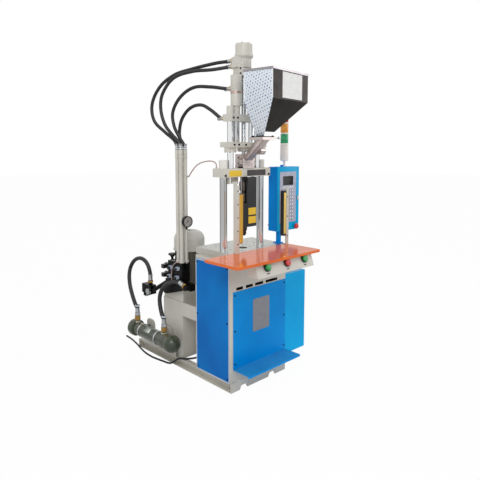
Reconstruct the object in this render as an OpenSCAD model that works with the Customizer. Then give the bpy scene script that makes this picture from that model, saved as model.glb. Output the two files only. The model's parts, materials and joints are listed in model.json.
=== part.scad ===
// Vertical injection moulding machine with two tie bars and a hydraulic pack at the rear.
// Millimetres. The floor is z = 0, the front faces -Y and the origin lies under the clamp axis.

/* [Base and cabinet] */
// Height of the base channels
rail_h = 60; // [50:1:80]
// Width of the base channels
rail_w = 40; // [34:1:50]
// Wall of the base channels
rail_t = 6; // [4:1:8]
// Left side of the base
base_left = 218; // [214:1:222]
// Front of the base, ahead of the clamp axis
base_front = 126; // [121:1:130]
// Rear end of the base, behind the clamp axis
base_rear = 912; // [895:5:960]
// Left side of the cabinet
cab_left = 223; // [222:1:232]
// Right side of the cabinet
cab_right = 288; // [286:1:300]
// Front of the cabinet, ahead of the clamp axis
cab_front = 119; // [110:1:122]
// Rear of the cabinet, behind the clamp axis
cab_rear = 203; // [195:1:215]
// Height of the cabinet itself
cab_h = 764; // [740:2:800]
// Sheet of the cabinet walls
cab_t = 4; // [3:0.5:6]
// Sheet of the blue covers
cover_t = 2; // [1.5:0.5:3]
// Lower edge of the front cover above the floor
cover_z = 142; // [130:1:160]
// Height of the front cover
cover_h = 491; // [470:1:500]
// Reach of the foot plate
foot_reach = 134; // [100:1:160]

/* [Platens and clamp] */
// Thickness of the lower platen
low_t = 43; // [36:1:50]
// Width of the lower platen to the left of the axis
low_left = 196; // [194:1:205]
// Width of the lower platen to the right of the axis
low_right = 318; // [310:1:330]
// Distance of a tie bar from the axis
bar_x = 163; // [155:1:166]
// Diameter of the tie bars
bar_d = 45; // [40:1:48]
// Daylight between the platens
daylight = 460; // [440:5:500]
// Width of the upper platen
up_w = 410; // [390:2:430]
// Depth of the upper platen
up_deep = 102; // [90:1:120]
// Thickness of the upper platen
up_t = 53; // [45:1:60]
// Diameter of the clamp ram
ram_d = 90; // [70:1:100]
// Centre hole of the lower platen
eject_d = 62; // [40:1:70]
// Tapped mould holes
tap_d = 12; // [8:1:16]

/* [Table and guards] */
// Sheet of the work table
table_t = 4; // [3:0.5:6]
// Table to the left of the axis
table_left = 418; // [380:2:440]
// Table to the right of the axis
table_right = 303; // [300:1:330]
// Front edge of the table
table_front = 397; // [380:1:410]
// Rear edge of the table
table_rear = 113; // [110:1:114]
// Length of the button box
bbox_w = 500; // [440:5:520]
// Height of the button box
bbox_h = 91; // [80:1:100]
// Diameter of the palm buttons
palm_d = 42; // [34:1:46]
// Travel of the palm buttons
palm_travel = 6; // [3:0.5:6]
// Section of the light curtains
curtain_w = 28; // [24:1:30]
// Length of the light curtains
curtain_h = 294; // [260:2:310]
// Section of the curtain posts
post_w = 26; // [22:1:30]

/* [Injection unit] */
// Injection axis ahead of the tie bars
inj_front = 12; // [6:1:18]
// Distance of a guide column from the injection axis
col_x = 115; // [112:1:118]
// Diameter of the guide columns
col_d = 39; // [34:1:40]
// Distance of an injection cylinder from the axis
cyl_x = 66; // [64:0.5:68]
// Outside diameter of the injection cylinders
cyl_d = 68; // [62:1:70]
// Diameter of the piston rods
rod_d = 42; // [34:1:43]
// Height of the top flange above the upper platen
flange_up = 287; // [283:1:300]
// Thickness of the top flange
flange_t = 43; // [36:1:46]
// Diameter of the screw
screw_d = 28; // [22:1:30]
// Outside diameter of the barrel
barrel_d = 44; // [42:1:46]
// Outside diameter of the heater bands
band_d = 58; // [52:1:60]
// Height of the feed block
feed_h = 88; // [80:1:90]
// Outside diameter of the hydraulic motor
hyd_d = 106; // [96:1:110]

/* [Hopper] */
// Width of the hopper rim
hopper_w = 376; // [340:2:400]
// Depth of the hopper rim
hopper_deep = 202; // [180:2:220]
// Height of the straight part
hopper_straight = 171; // [140:1:190]
// Height of the tapered part
hopper_taper = 204; // [180:1:220]
// Sheet of the hopper
hopper_t = 2; // [1.5:0.5:3]
// Distance of the outlet ahead of the tie bars
outlet_front = 176; // [170:1:182]

/* [Hydraulic pack] */
// Width of the tank
tank_w = 444; // [420:2:448]
// Depth of the tank
tank_deep = 220; // [210:2:240]
// Height of the tank
tank_h = 492; // [460:2:510]
// Sheet of the tank
tank_t = 4; // [3:0.5:6]
// Front face of the tank behind the clamp axis
tank_y = 380; // [376:1:390]
// Diameter of the motor cowl
cowl_d = 216; // [200:2:220]
// Height of the pump motor
motor_h = 372; // [350:2:390]
// Riser pipes
pipe_d = 25; // [20:1:27]
// Length of the riser pipes
pipe_h = 702; // [670:1:730]
// Shell of the oil cooler
cooler_d = 92; // [84:1:96]
// Bonnets of the oil cooler
bonnet_d = 120; // [110:1:124]
// Pressure gauge
gauge_d = 76; // [60:1:80]

/* [Control box and cabinet] */
// Width of the control box
ctrl_w = 225; // [200:1:240]
// Depth of the control box
ctrl_deep = 80; // [70:1:100]
// Height of the control box
ctrl_h = 436; // [400:2:450]
// Outside width of the electrical cabinet
elec_w = 210; // [190:1:230]
// Depth of the electrical cabinet
elec_deep = 310; // [290:2:314]
// Height of the electrical cabinet
elec_h = 555; // [500:5:600]

/* [Hidden] */
$fn = 48;
fit = 0.05;
gap = 0.3;

// Levels, from the floor up
cab_top = rail_h + cab_h;
low_top = cab_top + low_t;
table_top = low_top + table_t;
up_z = low_top + daylight;
up_top = up_z + up_t;
flange_z = up_top + flange_up;
flange_top = flange_z + flange_t;
feed_top = up_top + feed_h;
inj_y = -inj_front;

// Clamp drive below the lower platen
cyl_flange_t = 25;
clamp_body_d = 150;
clamp_body_h = 200;
yoke_t = 50;
yoke_top = cab_top - clamp_body_h - 6;
yoke_z = yoke_top - yoke_t;
nut_d = 54;
nut_h = 52;

// Crosshead and cylinders
barrel_low = up_z - 342;
band_h = 56;
band_pitch = 72;
bearing_d = 76;
bearing_h = 28;
cross_t = 32;
cross_w = 310;
cross_deep = 100;
cross_z = feed_top + 13;
cross_top = cross_z + bearing_h + cross_t;
neck_d = 51;
neck_h = 52;
cyl_z = flange_top + neck_h;
cyl_h = 185;
cyl_top = cyl_z + cyl_h;
col_nut_d = 46;
col_nut_h = 50;
spindle_d = 32;
adapter_h = 51;
hyd_h = 147;

// Hopper and gate
hopper_x = 29;
hopper_y = -261;
hopper_turn = 8;
gate_t = 3;
gate_slot = gate_t + 2 * gap;
throat_z = up_top + 186;
outlet_z = throat_z + gate_slot;
throat_w = 50;
bend_z = outlet_z + 4 + hopper_taper;
rim_z = bend_z + hopper_straight;

// Table, posts and button box
post_y = -142;
post_left_x = -188;
post_right_x = 263;
curtain_z = 934;
post_left_h = 412;
post_right_h = 380;
low_front = 200;
bbox_x = -252;
bbox_back = 300;
bbox_top_y = 356;
bbox_low_y = 388;
bbox_tilt = 90 - atan((bbox_low_y - bbox_top_y) / bbox_h);
palm_drop = 38;
palm_z = low_top - palm_drop;
palm_y = -bbox_top_y - (bbox_low_y - bbox_top_y) * palm_drop / bbox_h;
palm_stem_d = 24;
palm_x = [-164, 8, 168];

// Control box
ctrl_x = 272;
ctrl_y = -55;
ctrl_z = 945;
estop_x = 458;
estop_z = 967;
estop_d = 40;
estop_travel = 5;
lamp_x = 385;
lamp_y = -15;

// Electrical cabinet
elec_z = 105;
elec_t = 2;
door_t = 11;
elec_body_w = elec_w - door_t - gap;
hinge_r = 7;
hinge_x = cab_right + elec_w - 6;
hinge_y = -cab_front + elec_deep + 7;
hinge_zs = [elec_z + 90, elec_z + elec_h - 130];
knuckle_h = 30;

// Tank and motor
tank_x = -194;
lid_t = 6;
tank_top = rail_h + tank_h;
lid_top = tank_top + lid_t;
plate_t = 6;
plate_h = 400;
base_right = tank_x + tank_w + 35;
motor_x = -50;
motor_y = tank_y + tank_deep / 2;
motor_flange_d = 212;
motor_flange_t = 14;
cowl_h = 130;
lip_d = 226;
cowl_round = 62;
shaft_d = 28;
bell_d = 120;
bell_h = 90;
pump_h = 110;

// Valve block and pipes
block_x = -230;
block_y = 340;
block_w = 64;
block_deep = 160;
block_h = 130;
block_z = lid_top + 52;
block_top = block_z + block_h;
valve_zs = [block_z + 20, block_z + 80];
pipe_xy = [[-214, 400], [-214, 362], [-176, 362], [-176, 400]];
fitting_h = 52;
knob_xy = [-200, 490];
knob_lift = 9;
gauge_xy = [-195, 332];
gauge_z = 1021;
gauge_t = 26;
gauge_pin_d = 3;

// Cooler and filter
cooler_x = -285;
cooler_z = 187;
cooler_y0 = 430;
cooler_y1 = 832;
ear_x = -218;
ear_t = 6;
strap_y = [545, 745];
ear_w = 100;
filter_x = -210;
filter_y = 715;
filter_l = 112;
filter_z = 448;
filter_h = 66;
return_d = 30;
return_from = [-212, 528, 583.5];
return_slope = 30;

// Routes of hoses and cable, each a list of points chosen along its run
motor_upper_path = [[-60, 38, 2040], [-60, 56, 2040], [-100, 140, 2034], [-180, 310, 2004],
  [-222, 410, 1978], [-262, 512, 1910], [-285, 574, 1800], [-280, 562, 1690], [-248, 485, 1612],
  [-220, 418, 1555], [-214, 400, 1512], [-214, 400, 1494]];
motor_lower_path = [[-60, 38, 2006], [-60, 56, 2006], [-125, 140, 1992], [-188, 270, 1988],
  [-236, 400, 1955], [-264, 482, 1862], [-270, 498, 1770], [-262, 468, 1665], [-240, 418, 1595],
  [-218, 374, 1545], [-214, 362, 1512], [-214, 362, 1494]];
cylinder_upper_path = [[-66, 46, 1872], [-66, 62, 1872], [-125, 160, 1888], [-162, 285, 1892],
  [-190, 388, 1838], [-208, 448, 1745], [-208, 438, 1655], [-200, 398, 1585], [-184, 370, 1535],
  [-176, 362, 1510], [-176, 362, 1494]];
cylinder_lower_path = [[-118, 52, 1688], [-118, 68, 1688], [-145, 140, 1745], [-156, 218, 1778],
  [-166, 315, 1764], [-172, 395, 1700], [-174, 424, 1615], [-175, 408, 1540], [-176, 400, 1512],
  [-176, 400, 1494]];
cooler_rear_path = [[-210, 750, 545], [-210, 750, 563], [-210, 756, 606], [-212, 780, 656],
  [-217, 824, 688], [-225, 877, 692], [-235, 927, 666], [-247, 960, 614], [-258, 964, 552],
  [-268, 940, 482], [-277, 894, 415], [-283, 848, 362], [-285, 815, 332], [-285, 815, 310]];
cooler_front_path = [[-247, 300, 600], [-247, 317, 606], [-249, 350, 613], [-252, 392, 611],
  [-257, 437, 598], [-263, 480, 574], [-269, 515, 541], [-273, 535, 503], [-278, 538, 462],
  [-282, 526, 416], [-285, 504, 368], [-285, 480, 332], [-285, 480, 310]];
mains_path = [[-150, 228, 95], [-150, 246, 95], [-152, 282, 86], [-164, 318, 72], [-188, 345, 68],
  [-209, 366, 68], [-222, 388, 67], [-234, 412, 53], [-242, 442, 28], [-247, 480, 11], [-251, 530, 7],
  [-262, 600, 7], [-268, 660, 7], [-262, 755, 7], [-242, 850, 7], [-218, 940, 7], [-196, 1050, 7],
  [-186, 1145, 7]];
water_path = [[-176, 338, 1320], [-176, 326, 1320], [-178, 290, 1355], [-181, 230, 1398],
  [-186, 150, 1420], [-191, 75, 1424], [-192, 36, 1412], [-192, 30, 1396], [-192, 30, 1388]];
hose_d = 22;
cooler_hose_d = 29;
mains_d = 13;
water_d = 8;

beige = "#D2CFC2";
blue = "#0A7CCB";
steel = "#B9BCC0";
dark = "#2B2B2C";

// A tube of n sides swept along pts; side is a direction that no stretch runs along
function unit(v) = v / norm(v);
function tangent(p, i) = unit(p[min(i + 1, len(p) - 1)] - p[max(i - 1, 0)]);
function ring(c, t, side, r, n) =
  let (b = unit(cross(t, side)), a = cross(b, t))
  [for (k = [0 : n - 1]) c + r * (cos(360 * k / n) * a + sin(360 * k / n) * b)];
module cord(pts, d, side, n = 8) {
  last = len(pts) - 1;
  rings = [for (i = [0 : last]) each ring(pts[i], tangent(pts, i), side, d / 2, n)];
  walls = [for (i = [0 : last - 1], k = [0 : n - 1])
    [i * n + k, i * n + (k + 1) % n, (i + 1) * n + (k + 1) % n, (i + 1) * n + k]];
  ends = [[for (k = [n - 1 : -1 : 0]) k], [for (k = [0 : n - 1]) last * n + k]];
  polyhedron(points = rings, faces = concat(walls, ends), convexity = 6);
}

// A box given by its lower corner and its size
module block(corner, size) {
  translate(corner) cube(size);
}

// A cylinder along Y that starts at y
module along_y(x, y, z, d, h) {
  translate([x, y, z]) rotate([-90, 0, 0]) cylinder(d = d, h = h);
}

// A cylinder along X that starts at x
module along_x(x, y, z, d, h) {
  translate([x, y, z]) rotate([0, 90, 0]) cylinder(d = d, h = h);
}

// A sheet seen from above with its corners rounded
module round_sheet(corner, size, r) {
  x = corner[0] + r;
  y = corner[1] + r;
  translate([x, y, corner[2]]) linear_extrude(size[2]) union() {
    translate([-r, 0]) square([size[0], size[1] - 2 * r]);
    translate([0, -r]) square([size[0] - 2 * r, size[1]]);
    for (dx = [0, size[0] - 2 * r], dy = [0, size[1] - 2 * r]) translate([dx, dy]) circle(r);
  }
}

// Channel of the base, open to the outside, from y0 to y1
module channel(x, y0, y1, flip) {
  h = rail_h;
  w = rail_w;
  t = rail_t;
  profile = [[0, 0], [w, 0], [w, h], [0, h], [0, h - t], [w - t, h - t], [w - t, t], [0, t]];
  translate([x, y1, 0]) rotate([90, 0, 0]) linear_extrude(y1 - y0) scale_x(flip) polygon(profile);
}
module scale_x(flip) {
  mirror([flip ? 1 : 0, 0, 0]) children();
}

module base_frame() color(beige) {
  inner_l = -base_left + rail_w - 1;
  inner_w = base_left + base_right - 2 * rail_w + 2;
  bolt_d = 14;
  notch_w = 70;
  difference() {
    union() {
      channel(-base_left, -base_front, base_rear, false);
      channel(base_right, -base_front, base_rear, true);
      for (y = [-base_front, -rail_t / 2, cab_rear - 40, tank_y + tank_deep - 40, base_rear - rail_t])
        block([inner_l, y, 0], [inner_w, rail_t, rail_h]);
      for (y = [-base_front, base_rear - rail_t])
        block([-base_left, y, 0], [base_left + base_right, rail_t, rail_h]);
      side_plate(-base_left + rail_w / 2 + 4 - plate_t);
      side_plate(tank_x + tank_w);
      cooler_ears();
    }
    for (x = [-110, 150]) translate([x, -base_front + rail_t / 2, 0]) rotate([90, 0, 0])
      linear_extrude(rail_t * 2, center = true)
        polygon([[-notch_w / 2, -1], [notch_w / 2, -1], [notch_w / 2 - 16, 26], [16 - notch_w / 2, 26]]);
    for (x = [15 - base_left, base_right - 15], y = [40 - base_front, base_rear - 60])
      translate([x, y, -1]) cylinder(d = bolt_d, h = rail_t + 2);
  }
}

// Plate beside the tank, with its lower corner cut out ahead of the tank
module side_plate(x) {
  top = plate_h;
  band = 94;
  len_y = tank_y + tank_deep - cab_rear;
  cut = tank_y - cab_rear;
  translate([x, cab_rear, rail_h - 0.5]) rotate([90, 0, 90]) linear_extrude(plate_t)
    polygon([[0, top - band], [cut, top - band], [cut, 0], [len_y, 0], [len_y, top], [0, top]]);
}

// Upright plate on the left channel with two ears that hold the cooler
module cooler_ears() {
  plate_top = 90;
  round_r = 34;
  ear_top = cooler_z + 70 - rail_h;
  translate([ear_x, 440, rail_h - 0.5]) rotate([90, 0, 90]) linear_extrude(ear_t) union() {
    square([400, plate_top]);
    for (s = strap_y) translate([s - 440 - ear_w / 2, 0]) union() {
      square([ear_w, ear_top - round_r]);
      translate([round_r, 0]) square([ear_w - 2 * round_r, ear_top]);
      for (dx = [round_r, ear_w - round_r]) translate([dx, ear_top - round_r]) circle(round_r);
    }
  }
}

module cabinet_frame() color(beige) {
  w = cab_left + cab_right;
  deep = cab_front + cab_rear;
  border = 28;
  slots = [[-166, 58], [-84, 62], [-2, 74], [96, 112]];
  gland_z = mains_path[0][2];
  gland_l = mains_path[0][1] - cab_rear;
  difference() {
    block([-cab_left, -cab_front, rail_h], [w, deep, cab_h]);
    block([cab_t - cab_left, cab_t - cab_front, rail_h + cab_t],
      [w - 2 * cab_t, deep - 2 * cab_t, cab_h - cab_t - 12]);
    block([-cab_left - 1, border - cab_front, rail_h + border],
      [cab_t + 2, deep - 2 * border, cab_h - 2 * border - 30]);
    block([border + 12 - cab_left, -cab_front - 1, cover_z + 20],
      [w - 2 * border - 24, cab_t + 2, cover_h - 40]);
    block([-190, -90, cab_top - 14], [380, 180, 16]);
    for (c = slots) block([c[0], -cab_front - 1, cover_z + cover_h + 6], [c[1], cab_t + 2, 18]);
    along_x(cab_right - cab_t - 1, 60, 380, 50, cab_t + 2);
  }
  along_y(mains_path[0][0], cab_rear - 1, gland_z, 24, gland_l + 1);
}

module left_cover() color(blue)
  block([-cab_left - cover_t, 3 - cab_front, rail_h + 2], [cover_t, cab_front + cab_rear - 7, cab_h - 23]);

module front_cover() color(blue) {
  x0 = 28 - cab_left;
  w = cab_right - x0;
  y = cab_front + cover_t;
  lip = 12;
  translate([x0, 0, cover_z]) rotate([90, 0, 90]) linear_extrude(w)
    polygon([[-cab_front, 0], [-cab_front, cover_h], [-y, cover_h], [-y, cover_t],
      [-y - foot_reach, cover_t], [-y - foot_reach, -lip], [cover_t - y - foot_reach, -lip],
      [cover_t - y - foot_reach, 0]]);
}

module lower_platen() color(steel) {
  back = 231;
  difference() {
    block([-low_left, -low_front, cab_top], [low_left + low_right, low_front + back, low_t]);
    for (s = [-1, 1]) translate([s * bar_x, 0, cab_top - 1]) cylinder(d = bar_d + 2 * fit, h = low_t + 2);
    translate([0, 0, cab_top - 1]) cylinder(d = eject_d, h = low_t + 2);
    for (x = [-105, -70, 70, 105], y = [-70, 0, 70, 140])
      translate([x, y, low_top - 25]) cylinder(d = tap_d, h = 26);
    for (x = [180, 250], y = [70, 140, 200]) translate([x, y, low_top - 25]) cylinder(d = tap_d, h = 26);
    for (x = [-150, -60, 60], y = [195]) translate([x, y, low_top - 25]) cylinder(d = tap_d, h = 26);
  }
}

module work_table() color("#E8824E") {
  lip = 12;
  w = table_left + table_right;
  deep = table_front - table_rear;
  difference() {
    round_sheet([-table_left, -table_front, low_top - lip], [w, deep, lip + table_t], 14);
    block([table_t - table_left, table_t - table_front, low_top - lip - 1],
      [w - 2 * table_t, deep + 2, lip + 1]);
    block([0, -low_front - gap, low_top - lip - 1], [w, deep, lip + 1]);
  }
}

// Places a child on the slanted face of the button box, with +Z outwards
module on_button_face(x) {
  translate([x, palm_y, palm_z]) rotate([bbox_tilt, 0, 0]) children();
}

module button_box() color(beige) {
  bezel_h = 8;
  difference() {
    union() {
      translate([bbox_x, 0, low_top]) rotate([90, 0, 90]) linear_extrude(bbox_w)
        polygon([[-bbox_back, 0], [-bbox_top_y, 0], [-bbox_low_y, -bbox_h], [-bbox_back, -bbox_h]]);
      for (x = palm_x) on_button_face(x) translate([0, 0, -1]) cylinder(d = palm_d + 12, h = bezel_h + 1);
    }
    for (x = palm_x) on_button_face(x) {
      translate([0, 0, -35]) cylinder(d = palm_stem_d + 2 * fit, h = 40);
      cylinder(d = palm_d + 1, h = bezel_h + 1);
    }
  }
}

module palm_button(x, paint) color(paint) on_button_face(x) {
  rise = palm_travel + 1;
  rotate_extrude() polygon(concat([[0, -22], [palm_stem_d / 2, -22], [palm_stem_d / 2, rise],
    [palm_d / 2, rise]], [for (a = [0 : 15 : 90]) [palm_d / 2 - 3 + 3 * cos(a), rise + 8 + 3 * sin(a)]],
    [[0, rise + 12]]));
}
module left_start_button() palm_button(palm_x[0], "#18A04A");
module stop_button() palm_button(palm_x[1], "#D42A2A");
module right_start_button() palm_button(palm_x[2], "#18A04A");

module curtain_posts() color(beige) {
  t = 4;
  for (p = [[post_left_x, post_left_h, 0], [post_right_x, post_right_h, post_w - t]])
    translate([p[0], post_y, table_top]) union() {
      cube([post_w, t, p[1]]);
      translate([p[2], 0, 0]) cube([t, post_w, p[1]]);
      cube([post_w, post_w, 5]);
    }
  translate([post_left_x, post_y + post_w - t, table_top + post_left_h]) rotate([90, 0, 0]) linear_extrude(t)
    polygon([[0, -60], [0, 0], [-18, 22], [post_w, 22], [post_w, -60]]);
}

module light_curtains() color("#D9A441")
  for (x = [post_left_x + post_w, post_right_x - curtain_w]) translate([x, post_y - 2, curtain_z])
    difference() {
      cube([curtain_w, curtain_w, curtain_h]);
      translate([x < 0 ? curtain_w - 3 : -1, 7, 14]) cube([4, curtain_w - 14, curtain_h - 28]);
      translate([7, -1, 14]) cube([curtain_w - 14, 2.5, curtain_h - 28]);
    }

module control_box() color(blue) {
  difference() {
    block([ctrl_x, ctrl_y, ctrl_z], [ctrl_w, ctrl_deep, ctrl_h]);
    along_y(estop_x, ctrl_y - 1, estop_z, 16 + 2 * fit, 31);
  }
  difference() {
    along_y(estop_x, ctrl_y - 4, estop_z, 30, 4.5);
    along_y(estop_x, ctrl_y - 5, estop_z, 16 + 2 * fit, 9);
  }
  block([ctrl_x + 12, ctrl_y - 10, low_top + 5], [18, 30, ctrl_z - low_top - 4]);
  block([ctrl_x + 3, ctrl_y - 20, low_top], [37, 56, 6]);
  along_y(lamp_x - 45, ctrl_y + 12, ctrl_z + ctrl_h + 8, 12, 14);
  translate([lamp_x - 45, ctrl_y + 26, ctrl_z + ctrl_h - 1]) cylinder(d = 16, h = 14);
}

module operator_panel() color("#9AA0A6") {
  x0 = ctrl_x + 25;
  w = 167;
  z0 = 1000;
  h = 347;
  y = ctrl_y - 2;
  key = 17;
  pitch = 24;
  difference() {
    block([x0, y, z0], [w, 2, h]);
    block([x0 + 30, y - 1, z0 + h - 92], [w - 60, 2, 62]);
  }
  for (i = [0 : 4], j = [0 : 8]) block([x0 + 25 + i * pitch, y - 1.5, z0 + 18 + j * pitch], [key, 2, key]);
}

module signal_lamp() color("#F08A1A") translate([lamp_x, lamp_y, ctrl_z + ctrl_h]) rotate_extrude()
  polygon([[0, 0], [24, 0], [24, 4], [8, 6], [8, 36], [24, 38], [28, 44], [28, 148], [26, 149], [26, 158],
    [27, 159], [27, 220], [25, 221], [25, 229], [27, 230], [27, 290], [25, 291], [25, 299], [27, 300],
    [27, 356], [24, 362], [10, 368], [0, 369]]);

module emergency_button() color("#D42A2A") translate([estop_x, ctrl_y - 4, estop_z]) rotate([90, 0, 0])
  rotate_extrude() polygon(concat([[0, -28], [8, -28], [8, estop_travel + 1], [estop_d / 2 - 2, estop_travel + 1],
    [estop_d / 2, estop_travel + 3]], [for (a = [0 : 15 : 90]) [(estop_d / 2) * cos(a), estop_travel + 7 + 9 * sin(a)]]));

module electrical_cabinet() color(blue) {
  x0 = cab_right;
  y0 = -cab_front;
  difference() {
    block([x0, y0, elec_z], [elec_body_w, elec_deep, elec_h]);
    block([x0 + elec_t, y0 + elec_t, elec_z + elec_t],
      [elec_body_w - 2 * elec_t, elec_deep - 2 * elec_t, elec_h - 2 * elec_t]);
    block([x0 + elec_body_w - elec_t - 1, y0 + 14, elec_z + 14], [elec_t + 2, elec_deep - 28, elec_h - 28]);
    along_x(x0 - 1, 60, 380, 50, elec_t + 2);
  }
  for (z = hinge_zs) {
    block([x0 + elec_body_w - 30, y0 + elec_deep - 0.5, z - 20], [24, 7.5, 19.5]);
    block([x0 + elec_body_w - 12, hinge_y - 4, z - 20], [hinge_x - x0 - elec_body_w + 12, 8, 19.5]);
    translate([hinge_x, hinge_y, z - 20]) cylinder(r = hinge_r, h = 19.5);
    translate([hinge_x, hinge_y, z - 1]) cylinder(d = 8, h = knuckle_h);
  }
}

module electrical_door() color(blue) {
  x0 = cab_right + elec_body_w + gap;
  y0 = -cab_front;
  skin = 2;
  difference() {
    union() {
      block([x0, y0, elec_z], [door_t, elec_deep, elec_h]);
      for (z = hinge_zs) {
        translate([hinge_x, hinge_y, z]) cylinder(r = hinge_r, h = knuckle_h);
        block([hinge_x - 4, y0 + elec_deep - 1, z], [10, 8, knuckle_h]);
      }
    }
    block([x0 - 1, y0 + skin, elec_z + skin], [door_t - skin + 1, elec_deep - 2 * skin, elec_h - 2 * skin]);
    for (z = hinge_zs) translate([hinge_x, hinge_y, z - 1]) cylinder(d = 8 + 2 * fit, h = knuckle_h + 2);
  }
}

module switchgear() color("#D8D8D4") {
  x0 = cab_right + elec_t + gap;
  y0 = 30 - cab_front;
  w = elec_deep - 60;
  union() {
    block([x0, y0, elec_z + 40], [3, w, elec_h - 80]);
    for (z = [elec_z + 110, elec_z + 260, elec_z + 410]) {
      block([x0 + 2, y0 + 15, z], [9, w - 30, 35]);
      for (i = [0 : 4]) block([x0 + 10, y0 + 22 + i * 42, z - 22], [62, 36, 80]);
    }
  }
}

module oil_tank() color(beige) difference() {
  block([tank_x, tank_y, rail_h], [tank_w, tank_deep, tank_h]);
  block([tank_x + tank_t, tank_y + tank_t, rail_h + tank_t], [tank_w - 2 * tank_t, tank_deep - 2 * tank_t, tank_h]);
}

module tank_lid() color(beige) difference() {
  block([tank_x, tank_y, tank_top], [tank_w, tank_deep, lid_t]);
  translate([motor_x, motor_y, tank_top - 1]) cylinder(d = bell_d - 20, h = lid_t + 2);
}

module pump_motor() color(beige) translate([motor_x, motor_y, lid_top]) {
  body_d = cowl_d - 28;
  cowl_z = motor_h - cowl_h;
  r = cowl_d / 2;
  wall = 3;
  difference() {
    union() {
      cylinder(d = motor_flange_d, h = motor_flange_t);
      cylinder(d = body_d, h = cowl_z + 40);
      for (a = [0 : 15 : 345]) rotate([0, 0, a]) block([body_d / 2 - 4, -2, motor_flange_t - 1], [13, 4, cowl_z - 24]);
      translate([0, 0, cowl_z - 6]) cylinder(d = lip_d, h = 8);
    }
    translate([0, 0, -1]) cylinder(d = shaft_d + 2 * fit, h = motor_h);
    translate([0, 0, 30]) cylinder(d = 140, h = cowl_z - 10);
    for (a = [45 : 90 : 315]) rotate([0, 0, a]) translate([motor_flange_d / 2 - 10, 0, -1]) cylinder(d = 9, h = 30);
  }
  difference() {
    translate([0, 0, cowl_z]) rotate_extrude() polygon(concat([[r - wall, 0], [r, 0]],
      [for (a = [0 : 10 : 90]) [r - cowl_round + cowl_round * cos(a), cowl_h - cowl_round + cowl_round * sin(a)]],
      [[0, cowl_h], [0, cowl_h - wall]],
      [for (a = [90 : -10 : 0]) [r - cowl_round + (cowl_round - wall) * cos(a),
        cowl_h - cowl_round + (cowl_round - wall) * sin(a)]]));
    for (a = [0 : 30 : 150]) rotate([0, 0, a]) block([-52, -3, motor_h - wall - 1], [104, 6, wall + 2]);
  }
}

module motor_rotor() color(steel) translate([motor_x, motor_y, 0]) {
  top = lid_top + motor_h - 22;
  low = tank_top - bell_h - 20;
  fan_z = lid_top + motor_h - cowl_h + 50;
  union() {
    translate([0, 0, low]) cylinder(d = shaft_d, h = top - low);
    translate([0, 0, lid_top + 40]) cylinder(d = 138, h = 100);
    translate([0, 0, tank_top - 55]) cylinder(d = 60, h = 40);
    translate([0, 0, fan_z]) cylinder(d = 60, h = 40);
    for (a = [0 : 45 : 315]) rotate([0, 0, a]) block([20, -2, fan_z + 4], [65, 4, 32]);
  }
}

module bell_housing() color("#8E9294") translate([motor_x, motor_y, tank_top - bell_h]) difference() {
  union() {
    cylinder(d = bell_d, h = bell_h);
    translate([0, 0, bell_h - 10]) cylinder(d = bell_d + 30, h = 10);
  }
  translate([0, 0, -1]) cylinder(d = shaft_d + 12, h = bell_h + 2);
  translate([0, 0, 10]) cylinder(d = bell_d - 24, h = bell_h);
  for (a = [0, 90]) rotate([0, 0, a]) block([-bell_d, -20, 25], [2 * bell_d, 40, 40]);
}

module oil_pump() color("#5A5E60") translate([motor_x, motor_y, tank_top - bell_h - pump_h]) difference() {
  union() {
    translate([0, 0, pump_h - 14]) cylinder(d = bell_d, h = 14);
    cylinder(d = 86, h = pump_h);
    translate([0, 0, -190]) cylinder(d = 34, h = 195);
    translate([0, 0, -230]) cylinder(d = 70, h = 60);
    along_x(40, 0, 45, 30, 34);
  }
  translate([0, 0, pump_h - 30]) cylinder(d = shaft_d + 6, h = 31);
}

module valve_block() color(dark) {
  foot_w = 30;
  foot_d = 110;
  hang_x = block_x + 2;
  hang_t = tank_x - 2 - hang_x;
  hang = [[block_y - 12, block_z + 2], [block_y - 12, block_z - 20], [block_y - 6, block_z - 38],
    [block_y + 23, block_z - 64], [block_y + 124, block_z - 95], [block_y + 180, block_z - 111],
    [block_y + 212, block_z - 113], [block_y + 226, block_z - 102], [block_y + 220, block_z - 80],
    [block_y + 178, block_z - 44], [block_y + 199, block_z - 6.4], [block_y + 159, block_z - 6.4],
    [block_y + 159, block_z + 2]];
  port = cooler_front_path[0];
  way = cooler_front_path[1] - port;
  rise = atan(way[2] / way[1]);
  difference() {
    union() {
      block([block_x, block_y, block_z], [block_w, block_deep, block_h]);
      block([gauge_xy[0] - 10, gauge_xy[1] - 8, block_top - 40], [20, block_y - gauge_xy[1] + 9, 40]);
      block([tank_x - 2, tank_y + 4, lid_top], [foot_w, foot_d, block_z - lid_top + 1]);
      translate([hang_x, 0, 0]) rotate([90, 0, 90]) linear_extrude(hang_t) polygon(hang);
      block([hang_x, port[1] - 46, port[2] - 34], [40, block_y - port[1] + 50, 46]);
    }
    for (p = pipe_xy) translate([p[0], p[1], block_top - 12]) cylinder(d = pipe_d + 0.2, h = 13);
    translate([gauge_xy[0], gauge_xy[1], block_top - 12]) cylinder(d = 8.2, h = 13);
    for (z = valve_zs) block([block_x - 1, block_y + 80, z - 16], [5, 60, 32]);
  }
  translate([knob_xy[0], knob_xy[1], block_top - 1]) cylinder(d = 20, h = knob_lift);
  translate([knob_xy[0], knob_xy[1], block_top]) cylinder(d = 10, h = 30);
  along_x(port[0] - 14, port[1] - 27, port[2] - 10, 34, hang_x - port[0] + 15);
  translate(port) rotate([rise - 90, 0, 0]) translate([0, 0, -28]) cylinder(d = 30, h = 28);
}

module solenoid_valves() color("#3A4A66") for (z = valve_zs) {
  y0 = block_y + block_deep;
  x = block_x + 32;
  block([x - 24, y0, z - 22], [48, 26, 44]);
  along_y(x, y0 + 25, z, 38, 46);
  along_y(x, y0 + 70, z, 16, 8);
  block([x - 46, y0 + 32, z - 14], [32, 30, 28]);
}

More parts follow.
